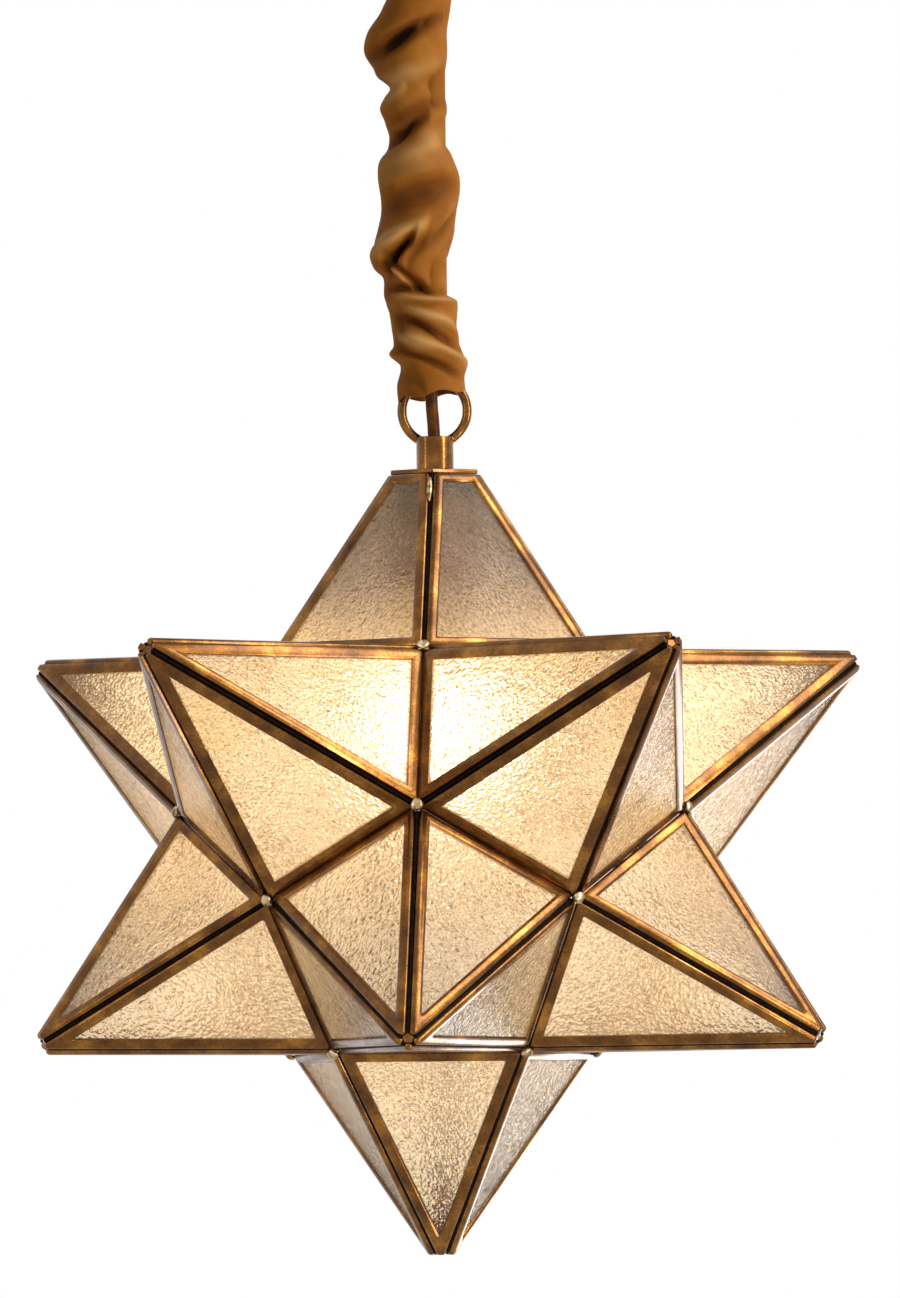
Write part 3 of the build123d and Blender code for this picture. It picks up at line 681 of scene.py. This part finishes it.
# fabric sleeve
sleevePiece = {
    "columns": 144, "rows": 230, "thickness": 0.8 * mm, "uvGirth": 110.0 * mm,
    "bottom": 6.8, "top": 184.0,          # mm above the middle of the star's ring
    "hemHeight": 30.0, "hemTilt": 0.13, "scallop": 0.9, "scallops": 5,
    # height, reach to the left and to the right of the chain, half depth, in mm
    "outline": [
        (6.8, 15.8, 14.0, 14.6), (13.0, 16.2, 13.4, 14.8), (20.7, 15.0, 13.8, 14.8),
        (25.5, 19.8, 12.0, 14.8), (29.0, 17.6, 10.6, 14.6), (37.0, 18.0, 9.6, 14.4),
        (42.0, 18.8, 10.2, 14.4), (47.0, 20.6, 10.2, 14.4), (50.5, 21.2, 5.6, 14.0),
        (58.0, 21.8, 3.4, 14.2), (62.0, 25.4, 4.2, 15.4), (68.5, 26.4, 6.8, 16.8),
        (79.0, 24.4, 9.8, 18.2), (92.0, 22.4, 11.0, 18.4), (102.0, 23.6, 11.2, 17.8),
        (111.0, 22.0, 8.4, 16.4), (118.5, 18.6, 4.4, 14.6), (125.0, 20.6, 5.8, 15.4),
        (130.5, 22.2, 7.0, 16.2), (136.0, 20.8, 5.6, 15.2), (140.6, 18.4, 3.6, 14.2),
        (146.0, 24.4, 5.4, 15.6), (155.0, 28.6, 6.6, 17.2), (164.0, 28.0, 6.6, 16.8),
        (174.0, 22.0, 8.0, 14.6), (184.0, 17.5, 10.0, 13.4),
    ],
    # folds: angle from the front in degrees (right positive) and height in mm at each end,
    # then width and rise in mm, a negative rise for a crease
    "folds": [
        (-100, 112.0, 20, 125.0, 3.2, -5.6), (-80, 105.5, 66, 118.0, 4.2, 2.2),
        (-88, 84, 70, 99, 6.5, -3.6), (-70, 98, 50, 106, 6.0, 1.4),
        (-88, 64.5, 12, 80.0, 4.2, 4.2), (-44, 62.0, 2, 73.5, 3.6, -8.0),
        (-48, 66.0, -2, 54.0, 2.3, 3.0), (-20, 62, 30, 51, 2.4, -3.0), (4, 66, 66, 83, 4.6, -3.0),
        (30, 76, 84, 94, 4.0, 1.6),
        (-40, 49.4, 92, 47.6, 1.7, 3.2), (-64, 52.4, 74, 51.0, 2.2, -3.4),
        (-24, 44.5, 84, 33.5, 2.6, 3.4), (-44, 40.5, 66, 28.5, 2.0, -4.4),
        (-40, 33.0, 88, 19.0, 2.9, 3.6), (-64, 28.5, 68, 13.5, 2.2, -3.6),
        (-90, 46, -34, 36, 3.0, -2.4), (-76, 19, -12, 11, 2.8, -1.6),
        (-96, 148.5, 10, 164.0, 4.0, -4.4), (-50, 141, 66, 151, 4.2, 2.0),
        (-30, 158, 76, 172, 3.8, -4.2), (-95, 131, -20, 138, 3.2, 1.6), (-40, 127, 76, 134, 3.4, -2.2),
        (95, 52, 200, 70, 3.6, -5.0), (175, 74, 262, 92, 3.8, -5.0), (100, 86, 215, 108, 4.2, -5.0),
        (160, 112, 258, 128, 3.4, -4.6), (100, 130, 220, 150, 3.8, -4.6), (105, 24, 190, 40, 3.0, -3.6),
        (185, 22, 262, 34, 3.0, -3.6), (150, 152, 265, 168, 3.6, -4.4),
    ],
    "foldReach": 1.25, "foldWander": 0.8,     # how far a fold runs past its ends, and wavers
    "foldAtSides": 0.35,                  # share of its rise at the sides
    "foldSpan": 11.0,                     # mm from the deepest crease to the highest ridge
    # soft waves all round: rise in mm, waves a turn, lean with height, start
    "waves": [(0.30, 2, 0.11, 0.0), (0.22, 3, -0.17, 1.0), (0.12, 6, 0.31, 0.0)],
    "outlineEase": 0.8,                   # how round the outline runs through its rows
    "least": 5.8,                         # mm, room round the chain
    "leastFront": 10.9,                   # mm, room where the cord runs
}


def outlineAt(height):
    # left reach, right reach and half depth, on a smooth line through the rows
    rows = sleevePiece["outline"]
    height = min(max(height, rows[0][0]), rows[-1][0] - 0.001)
    k = max(i for i in range(len(rows) - 1) if rows[i][0] <= height)
    low, high = rows[k], rows[k + 1]
    before, after = rows[max(k - 1, 0)], rows[min(k + 2, len(rows) - 1)]
    span = high[0] - low[0]
    t = (height - low[0]) / span
    ease = sleevePiece["outlineEase"] * span
    found = []
    for j in (1, 2, 3):
        slopeLow = (high[j] - before[j]) / (high[0] - before[0]) * ease
        slopeHigh = (after[j] - low[j]) / (after[0] - low[0]) * ease
        found.append(low[j] * (2 * t ** 3 - 3 * t ** 2 + 1) + slopeLow * (t ** 3 - 2 * t ** 2 + t)
                     + high[j] * (3 * t ** 2 - 2 * t ** 3) + slopeHigh * (t ** 3 - t ** 2))
    return found


def foldRise(angle, height):
    # what the folds and creases add to the outline at this place
    reach, wander = sleevePiece["foldReach"], sleevePiece["foldWander"]
    total = 0.0
    for a0, h0, a1, h1, width, rise in sleevePiece["folds"]:
        along = ((angle - (a0 + a1) / 2 + 180) % 360 - 180) / ((a1 - a0) / 2)
        if abs(along) > reach:
            continue
        line = (h0 + h1) / 2 + (h1 - h0) / 2 * along + wander * math.sin(3 * along + h0)
        off = (height - line) / width
        fade = max(0.0, 1 - (abs(along) / reach) ** 4)
        total += rise * fade * math.exp(-off * off)
    return total


def sleevePoint(angle, height):
    # place on the cloth in mm, and its fold depth for the painted fold shade: 0 deep in a fold, 1 on a
    # ridge
    ss = sleevePiece
    left, right, depth = outlineAt(height)
    turn = math.radians(angle)
    side, front = math.sin(turn), math.cos(turn)
    soft = sum(high * math.sin(waves * turn + height * lean + start)
               for high, waves, lean, start in ss["waves"])
    rise = foldRise(angle, height) * (ss["foldAtSides"] + (1 - ss["foldAtSides"]) * abs(front)) + soft
    x = (right - left) / 2 + ((left + right) / 2 + rise) * side
    y = -(depth + rise) * front
    away, toward = math.hypot(x, y), math.atan2(x, -y)
    frontShare = max(0.0, math.cos(toward)) ** 2
    least = ss["least"] + (ss["leastFront"] - ss["least"]) * frontShare
    if away < least:
        x, y = x * least / away, y * least / away
    return x, y, min(max(0.5 + rise / ss["foldSpan"], 0.0), 1.0)


def makeSleeve():
    ss = sleevePiece
    clearSelection()
    bpy.ops.mesh.primitive_grid_add(x_subdivisions=ss["columns"], y_subdivisions=ss["rows"], size=2)
    cloth = takeNew("fabricSleeve")
    uv = cloth.data.uv_layers.active.data
    heights = ss["top"] - ss["bottom"]
    base = station["capTop"] + loopPiece["ringOverSeat"]
    for loop in cloth.data.loops:
        co = cloth.data.vertices[loop.vertex_index].co
        uv[loop.index].uv = ((co.x + 1) / 2 * ss["uvGirth"], (co.y + 1) / 2 * heights * mm)
    # the fold depth, kept for the material's painted fold shade
    fold = cloth.data.attributes.new("fold", "FLOAT", "POINT")
    for v in cloth.data.vertices:
        angle = v.co.x * 180
        height = ss["bottom"] + (v.co.y + 1) / 2 * heights
        x, y, foldShade = sleevePoint(angle, height)
        fold.data[v.index].value = foldShade
        fromHem = max(0.0, 1 - (height - ss["bottom"]) / ss["hemHeight"])
        scallop = ss["scallop"] * math.sin(math.radians(ss["scallops"] * angle)) * fromHem ** 3
        lift = ss["hemTilt"] * x * fromHem + scallop
        v.co = (x * mm, y * mm, base + (height + lift) * mm)
    activate(cloth)
    closeSeams()
    modify(cloth, "SOLIDIFY", thickness=ss["thickness"], offset=-1)
    bpy.ops.object.shade_smooth()
    finishPiece(cloth, "chain", "cloth", "fabric_sleeve")


makeSleeve()
print("sleeve gathered")

# lamp holder
holderPiece = {
    "top": station["starMiddle"] + 161.07 * mm, "height": 46.0 * mm,
    "radius": 17.0 * mm, "wall": 2.0 * mm, "mouth": 13.5 * mm,
    "shoulder": 8.0 * mm, "shoulderIn": 3.0 * mm, "shoulderDrop": 3.2 * mm,
    "crown": 8.0 * mm, "nipple": 4.9 * mm,
    "lipHeight": 1.5 * mm, "lipIn": 1.0 * mm, "rounding": 0.6 * mm,
}


def makeLampHolder():
    hs = holderPiece
    top, low = hs["top"], hs["top"] - hs["height"]
    radius, shoulder = hs["radius"], top - hs["shoulder"]
    outline = [
        (hs["nipple"], top), (hs["crown"], top),
        (radius - hs["shoulderIn"], top - hs["shoulderDrop"]), (radius, shoulder),
        (radius, low + hs["lipHeight"]), (radius - hs["lipIn"], low), (hs["mouth"], low),
        (hs["mouth"], shoulder - 2 * hs["wall"]), (hs["nipple"], shoulder - hs["wall"]),
        (hs["nipple"], top),
    ]
    holder = turnedPiece("lampHolder", outline, 64)
    modify(holder, "BEVEL", width=hs["rounding"], segments=2, limit_method="ANGLE")
    smooth(holder)
    finishPiece(holder, "star", "resin", "lamp_holder")


makeLampHolder()
print("lamp holder turned")

# the lit bulb
bulbPiece = {
    "globe": 30.0 * mm, "length": 81.0 * mm, "neck": 14.2 * mm, "collar": 4.0 * mm,
    "swellDrop": 26.0 * mm, "swellReach": 0.72, "swellSteps": 8,
    "globeFrom": 42.0, "globeTo": -90.0, "globeSteps": 14,    # degrees above its middle
}


def makeBulbGlass():
    # a collar, a neck that swells, and the globe round to its lowest point
    bs = bulbPiece
    top = bulbMiddle.z + bs["length"] - bs["globe"]
    collar = top - bs["collar"]
    outline = [(0, top), (bs["neck"], top), (bs["neck"], collar)]
    for k in range(1, bs["swellSteps"]):
        share = k / bs["swellSteps"]
        swell = share * share * (3 - 2 * share)
        outline.append((bs["neck"] + (bs["globe"] * bs["swellReach"] - bs["neck"]) * swell,
                        collar - bs["swellDrop"] * share))
    sweep = bs["globeTo"] - bs["globeFrom"]
    for k in range(bs["globeSteps"] + 1):
        slope = math.radians(bs["globeFrom"] + sweep * k / bs["globeSteps"])
        outline.append((max(bs["globe"] * math.cos(slope), 0.0),
                        bulbMiddle.z + bs["globe"] * math.sin(slope)))
    bulb = turnedPiece("bulbGlass", outline, 64)
    smooth(bulb, 60)
    finishPiece(bulb, "bulb", "litBulb", "bulb_glass")


makeBulbGlass()
print("bulb blown")

# the bulb's screw shell, inside the holder
basePiece = {
    "crest": 13.2 * mm, "root": 12.4 * mm, "pitch": 5.0 * mm, "turns": 3, "steps": 8,
    "height": 23.6 * mm, "underHolder": 0.6 * mm, "threadDrop": 4.0 * mm,
    "contact": 4.5 * mm, "contactHeight": 1.2 * mm,
    "insulator": 10.2 * mm, "insulatorDrop": 3.0 * mm,
}


def makeBulbBase():
    # rounded threads under a stepped crown
    bs = basePiece
    low = holderPiece["top"] - holderPiece["height"] - bs["underHolder"]
    top = low + bs["height"]
    thread = top - bs["threadDrop"]
    shell = [(0, top), (bs["contact"], top), (bs["contact"], top - bs["contactHeight"]),
             (bs["insulator"], top - bs["insulatorDrop"]), (bs["root"], thread)]
    for k in range(1, bs["turns"] * bs["steps"] + 1):
        swing = 0.5 - 0.5 * math.cos(2 * math.pi * k / bs["steps"])
        shell.append((bs["root"] + (bs["crest"] - bs["root"]) * swing,
                      thread - bs["pitch"] * k / bs["steps"]))
    shell += [(bs["root"], low), (0, low)]
    base = turnedPiece("bulbBase", shell, 64)
    smooth(base, 40)
    finishPiece(base, "bulb", "bulbMetal", "bulb_base")


makeBulbBase()
print("bulb base turned")

# the star's form, in mm from its middle
star = {
    # radius, height and first azimuth of each ring of core corners
    "top": (72.5, 87.0, 0), "upper": (113.5, 19.3, 0), "lower": (110.5, -19.3, 36),
    "bottom": (69.0, -83.0, 36),
    "topApex": 194.0, "bottomApex": -177.7,
    "highTip": (193.6, 88.0), "lowTip": (180.9, -82.2),
    "tipCut": 7.4, "rimRadius": 19.65, "sameWithin": 0.001,
    "highSides": ["front_right", "right", "door", "left", "front_left"],
    "lowSides": ["front", "right", "back_right", "back_left", "left"],
}
# the share of the top point that stands under the cap
topKept = 1 - star["rimRadius"] / star["top"][0]


def ringPoint(radius, height, azimuth):
    turn = math.radians(azimuth)
    return Vector((radius * math.sin(turn), -radius * math.cos(turn), height))


def ringPoints(name):
    radius, height, start = star[name]
    return [ringPoint(radius, height, start + 72 * k) for k in range(5)]


def starPoints():
    # name: the five corners of a point's base, in order, and its sharp tip
    top, upper = ringPoints("top"), ringPoints("upper")
    lower, bottom = ringPoints("lower"), ringPoints("bottom")
    found = {
        "point_top": (top, Vector((0, 0, star["topApex"]))),
        "point_bottom": (bottom, Vector((0, 0, star["bottomApex"]))),
    }
    for k, side in enumerate(star["highSides"]):
        base = [top[k], top[(k + 1) % 5], upper[(k + 1) % 5], lower[k], upper[k]]
        name = side if side == "door" else "point_high_" + side
        found[name] = (base, ringPoint(*star["highTip"], 72 * k + 36))
    for k, side in enumerate(star["lowSides"]):
        base = [upper[k], lower[k], bottom[k], bottom[k - 1], lower[k - 1]]
        found["point_low_" + side] = (base, ringPoint(*star["lowTip"], 72 * k))
    return found


points = starPoints()


def paneNormal(name, k):
    base, tip = points[name]
    a, b = base[k], base[(k + 1) % 5]
    middle = sum(base, Vector((0, 0, 0))) / 5
    normal = (b - a).cross(tip - a).normalized()
    return normal if normal.dot(a - middle) > 0 else -normal


def near(a, b):
    return (a - b).length < star["sameWithin"]


def neighbourPane(name, a, b):
    # the pane of another point that stands on the same edge
    for other, (base, tip) in points.items():
        for k in range(5):
            c, d = base[k], base[(k + 1) % 5]
            if other != name and ((near(a, c) and near(b, d)) or (near(a, d) and near(b, c))):
                return other, paneNormal(other, k)


# brass frames, in mm
framePiece = {
    "face": 5.0, "depth": 2.8, "jointGap": 0.12, "doorGap": 0.5,
    "rounding": 1.2, "roundingSteps": 4,
    "crown": 0.5, "crownWidth": 1.7,
}


def edgeInset(normal, other, gap):
    # how far a frame's middle plane stops before the edge that it shares with another
    half = (math.pi - normal.angle(other)) / 2
    return framePiece["depth"] / 2 / math.tan(half) + gap / 2 / math.sin(half)


def insetOutline(outline, distances):
    # each side of a flat outline moves inwards by its own distance
    sides = []
    for k, corner in enumerate(outline):
        along = (outline[(k + 1) % len(outline)] - corner).normalized()
        inward = Vector((-along.y, along.x))
        sides.append((corner + inward * distances[k], along))
    moved = []
    for k, (here, along) in enumerate(sides):
        before, other = sides[k - 1]
        step = here - before
        share = (step.x * along.y - step.y * along.x) / (other.x * along.y - other.y * along.x)
        moved.append(before + other * share)
    return moved


def crownFaces(bar):
    # the strip's two faces swell towards their middle line
    enterEdit()
    bpy.ops.mesh.select_mode(type="FACE")
    bpy.ops.mesh.select_all(action="DESELECT")
    leaveEdit()
    for face in bar.data.polygons:
        face.select = abs(face.normal.z) > 0.9
    enterEdit()
    bpy.ops.mesh.inset(thickness=framePiece["crownWidth"] * mm, depth=framePiece["crown"] * mm)
    bpy.ops.mesh.select_mode(type="VERT")
    leaveEdit()


def frameOutlines(name, k):
    # the pane's plane with its place and turn, then the strip's outer and inner outline in mm
    base, tip = points[name]
    a, b = base[k], base[(k + 1) % 5]
    normal = paneNormal(name, k)
    before, after = paneNormal(name, (k - 1) % 5), paneNormal(name, (k + 1) % 5)
    if (b - a).cross(tip - a).dot(normal) < 0:
        a, b, before, after = b, a, after, before
    neighbour, other = neighbourPane(name, a, b)
    gap = framePiece["doorGap" if "door" in (name, neighbour) else "jointGap"]
    along = (b - a).normalized()
    up = normal.cross(along)
    width, high, over = (b - a).length, (tip - a).dot(up), (tip - a).dot(along)
    kept = topKept if name == "point_top" else 1 - star["tipCut"] / high
    corners = [Vector((0, 0)), Vector((width, 0)), Vector((width + (over - width) * kept, high * kept)),
               Vector((over * kept, high * kept))]
    joint = framePiece["jointGap"]
    sides = [edgeInset(normal, other, gap), edgeInset(normal, after, joint), 0,
             edgeInset(normal, before, joint)]
    outer = insetOutline(corners, sides)
    window = insetOutline(outer, [framePiece["face"]] * 4)
    if window[2].x <= window[3].x:
        # the window ends in a point under the cut tip
        sharp = insetOutline([Vector((0, 0)), Vector((width, 0)), Vector((over, high))],
                             [sides[0], sides[1], sides[3]])
        window = insetOutline(sharp, [framePiece["face"]] * 3)
        window.append(window[2])
    turn = Matrix((along, up, normal)).transposed().to_4x4()
    return Matrix.Translation(starMiddle + a * mm) @ turn, outer, window


def paneFrame(name, k):
    # one channel frame: a plane, its window inset and cut, thickened and rounded
    place, outer, window = frameOutlines(name, k)
    clearSelection()
    bpy.ops.mesh.primitive_plane_add(size=mm)
    frameBar = takeNew(name + "_bar")
    corner = frameBar.data.vertices
    for index, spot in zip((0, 1, 3, 2), outer):
        corner[index].co = (spot.x * mm, spot.y * mm, 0)
    editAll()
    bpy.ops.mesh.inset(thickness=mm / 10)
    leaveEdit()
    inner = [v for v in corner if v.index > 3]
    for index, spot in zip((0, 1, 3, 2), window):
        nearest = min(inner, key=lambda v: (v.co - corner[index].co).length)
        nearest.co = (spot.x * mm, spot.y * mm, 0)
        inner.remove(nearest)
    enterEdit()
    bpy.ops.mesh.delete(type="ONLY_FACE")
    bpy.ops.mesh.select_all(action="SELECT")
    bpy.ops.mesh.remove_doubles(threshold=mm / 100)
    leaveEdit()
    modify(frameBar, "SOLIDIFY", thickness=framePiece["depth"] * mm, offset=0)
    crownFaces(frameBar)
    modify(frameBar, "BEVEL", width=framePiece["rounding"] * mm, segments=framePiece["roundingSteps"],
           limit_method="ANGLE", angle_limit=math.radians(30))
    bpy.ops.object.shade_smooth()
    frameBar.matrix_world = place
    freeze(frameBar)
    return frameBar


def makeFrames():
    for name in points:
        joined = joinParts([paneFrame(name, k) for k in range(5)], name + "_brass")
        finishPiece(joined, "door" if name == "door" else "star", "brass", name + "_frame")


makeFrames()
print("frames made for", len(points), "points")

# dark seams in the grooves
seamPiece = {"radius": 0.85, "sink": 1.0, "fromTip": 8.0, "fromCorner": 0.02}


def seamRod(a, b, out):
    # a thin rod from a to b, sunk below the edge line against the direction out
    sink = out * seamPiece["sink"]
    start, end = a - sink, b - sink
    rod = cylinder("seam", seamPiece["radius"] * mm, (end - start).length * mm, vertices=10)
    rod.rotation_euler = (end - start).to_track_quat("Z", "Y").to_euler()
    rod.location = starMiddle + (start + end) / 2 * mm
    freeze(rod)
    return rod


def makeSeams():
    rods = {"star": [], "door": []}
    for name, (base, tip) in points.items():
        body = "door" if name == "door" else "star"
        for k in range(5):
            out = (paneNormal(name, k) + paneNormal(name, (k - 1) % 5)).normalized()
            ridge = tip - base[k]
            kept = topKept if name == "point_top" else 1 - seamPiece["fromTip"] / ridge.length
            start, end = base[k] + ridge * seamPiece["fromCorner"], base[k] + ridge * kept
            rods[body].append(seamRod(start, end, out))
            a, b = base[k], base[(k + 1) % 5]
            other, normal = neighbourPane(name, a, b)
            if name < other and "door" not in (name, other):
                out = (paneNormal(name, k) + normal).normalized()
                rods["star"].append(seamRod(a, b, out))
    for body, found in rods.items():
        joined = joinParts(found, body + "Seams")
        smooth(joined, 60)
        finishPiece(joined, body, "groove")


makeSeams()
print("grooves seamed")

# solder drops over the corners, and one that ran down the front groove under the cap
beadPiece = {
    "radius": 2.7 * mm, "height": 1.6 * mm, "lift": 2.5 * mm,
    "runRadius": 1.3 * mm, "runLength": 13.5 * mm, "runSide": -0.6 * mm,
    "runHeight": 158.0,                   # mm above the star's middle
}


def beadPlaces():
    # every corner of the core that doesn't move with the door
    places = []
    for ring in ("top", "upper", "lower", "bottom"):
        for place in ringPoints(ring):
            if not any(near(place, corner) for corner in points["door"][0]):
                places.append(place * mm)
    return places


def solderRun():
    base, tip = points["point_top"]
    share = (beadPiece["runHeight"] - base[0].z) / (tip.z - base[0].z)
    along = (tip - base[0]).normalized()
    clearSelection()
    bpy.ops.mesh.primitive_uv_sphere_add(segments=24, ring_count=16, radius=beadPiece["runRadius"])
    run = takeNew("solderRun")
    run.scale = (1, 1, beadPiece["runLength"] / 2 / beadPiece["runRadius"])
    run.rotation_euler = along.to_track_quat("Z", "Y").to_euler()
    run.location = starMiddle + (base[0] + (tip - base[0]) * share) * mm
    run.location.x += beadPiece["runSide"]
    freeze(run)
    return run


def makeSolder():
    drops = []
    for k, place in enumerate(beadPlaces()):
        clearSelection()
        out = place.normalized()
        bpy.ops.mesh.primitive_ico_sphere_add(subdivisions=3, radius=beadPiece["radius"])
        drop = takeNew("solderDrop%d" % k)
        drop.scale = (1, 1, beadPiece["height"] / beadPiece["radius"])
        drop.rotation_euler = out.to_track_quat("Z", "Y").to_euler()
        drop.location = starMiddle + place + out * beadPiece["lift"]
        freeze(drop)
        drops.append(drop)
    drops.append(solderRun())
    joined = joinParts(drops, "solderDrops")
    smooth(joined, 80)
    finishPiece(joined, "star", "solder", "solder_beads")
    return len(drops)


print(makeSolder(), "solder drops placed")

# ceiling canopy, in mm
canopyPiece = {
    "radius": 63.5, "depth": 25.0, "wall": 1.2, "rim": 3.0, "bore": 4.9,
    "shoulder": 50.0, "shoulderDepth": 14.0, "crown": 20.0,
    "screwSpacing": 88.9, "screwHole": 2.3, "drillDepth": 60.0,
    "rounding": 0.5, "roundingFrom": 14.0,
}


def makeCanopy():
    # the outline runs over the outside to the rim and back along the inside
    cs = canopyPiece
    wall = cs["wall"]
    outline = [
        (cs["bore"], -cs["depth"]), (cs["crown"], -cs["depth"]), (cs["shoulder"], -cs["shoulderDepth"]),
        (cs["radius"], -cs["rim"]), (cs["radius"], 0), (cs["radius"] - wall, 0),
        (cs["radius"] - wall, -cs["rim"] + wall / 2),
        (cs["shoulder"] - wall, -cs["shoulderDepth"] + wall), (cs["crown"] - wall, -cs["depth"] + wall),
        (cs["bore"], -cs["depth"] + wall), (cs["bore"], -cs["depth"]),
    ]
    dish = turnedPiece("canopyDish", [(r * mm, z * mm) for r, z in outline], 96)
    for side in (1, -1):
        drillHole(dish, cs["screwHole"] * mm, cs["drillDepth"] * mm,
                  (side * cs["screwSpacing"] / 2 * mm, 0, 0))
    modify(dish, "BEVEL", width=cs["rounding"] * mm, segments=3, limit_method="ANGLE",
           angle_limit=math.radians(cs["roundingFrom"]))
    smooth(dish, 30)
    finishPiece(dish, "canopy", "brass", "canopy_dish")


makeCanopy()
print("canopy spun")

# solids that stay, with softened edges, by finish
fittings = {
    "edge": 0.3 * mm, "edgeSteps": 2, "edgeFrom": 30.0,
    "brass": ("tip_plugs", "door_tip_plug", "hinge_fixed_knuckles", "hinge_door_knuckle", "hinge_pin",
              "canopy_screws"),
    "zinc": ("nipple", "cap_locknut", "canopy_nipple", "canopy_locknut", "crossbar"),
    "groove": ("cap_strap",),
}


def softenEdges(obj):
    weld = obj.modifiers.new("Weld", "WELD")
    weld.merge_threshold = mm / 100
    edge = obj.modifiers.new("Bevel", "BEVEL")
    edge.width = fittings["edge"]
    edge.segments = fittings["edgeSteps"]
    edge.limit_method = "ANGLE"
    edge.angle_limit = math.radians(fittings["edgeFrom"])
    edge.harden_normals = True


for name in sorted(nodes):
    if name.endswith("_glass") and name != "bulb_glass":
        paint(nodes[name], finish["glass"][0])
for kind in ("brass", "zinc", "groove"):
    for name in fittings[kind]:
        paint(nodes[name], finish[kind][0])
        softenEdges(nodes[name])
print("frames and fittings dressed")

# floor and light
stage = {
    "floorZ": -1.6, "floorSize": 12.0,
    "floorColour": (0.86, 0.86, 0.85), "floorCloud": (2.0, 2, 0.5), "floorShade": 0.98,
    "floorLift": 0.92,                # share of plain white in the floor that is seen
    "worldDiffuse": 0.24,
    "aimOver": 0.1,                   # over the star's middle
    # place, width and height, and watts
    "lamps": {
        "keyLamp": ((1.7, -0.9, 0.1), (0.25, 1.8), 26),
        "highLamp": ((1.38, -0.12, 1.0), (0.75, 0.75), 13),
        "rimLamp": ((0.97, 1.62, -1.1), (0.6, 0.6), 6),
        "lowLamp": ((1.1, -1.2, -1.3), (0.3, 0.3), 6),
        "leftLamp": ((-1.9, -1.2, 0.1), (0.12, 1.2), 5),
    },
}


def seenRays(desk):
    # 1 for what the camera sees, straight, in metal or through glass
    path = desk.add("ShaderNodeLightPath").outputs
    direct = desk.math("MAXIMUM", path["Is Camera Ray"], path["Is Glossy Ray"])
    return desk.math("MAXIMUM", direct, path["Is Transmission Ray"])


def makeFloor():
    clearSelection()
    bpy.ops.mesh.primitive_plane_add(size=stage["floorSize"], location=(0, 0, stage["floorZ"]))
    floor = takeNew("floor")
    desk = NodeDesk("floorPaper")
    pale = stage["floorColour"]
    colour = desk.ramp(desk.noise(*stage["floorCloud"]),
                       [(0.0, tuple(c * stage["floorShade"] for c in pale)), (1.0, pale)])
    paper = desk.add("ShaderNodeBsdfDiffuse", Color=colour)
    lit = desk.add("ShaderNodeEmission")
    seen = desk.math("MULTIPLY", seenRays(desk), stage["floorLift"])
    paint(floor, desk.finish(desk.mixShader(seen, paper.outputs[0], lit.outputs[0])))


def makeWorld():
    # white where it is seen, dimmer as a light
    desk = NodeDesk("studio", world=True)
    level = desk.range(seenRays(desk), 0.0, 1.0, stage["worldDiffuse"], 1.0)
    sky = desk.add("ShaderNodeBackground", Color=(1, 1, 1), Strength=level)
    bpy.context.scene.world = desk.finish(sky.outputs[0])


def areaLamp(name):
    place, size, power = stage["lamps"][name]
    data = bpy.data.lights.new(name, "AREA")
    data.shape = "RECTANGLE"
    data.size, data.size_y = size
    data.energy = power
    lamp = bpy.data.objects.new(name, data)
    bpy.context.scene.collection.objects.link(lamp)
    lamp.location = place
    aim = starMiddle + Vector((0, 0, stage["aimOver"])) - Vector(place)
    lamp.rotation_euler = aim.to_track_quat("-Z", "Y").to_euler()


makeFloor()
makeWorld()
for name in stage["lamps"]:
    areaLamp(name)
bpy.context.scene.view_settings.view_transform = "Standard"
print("stage lit")
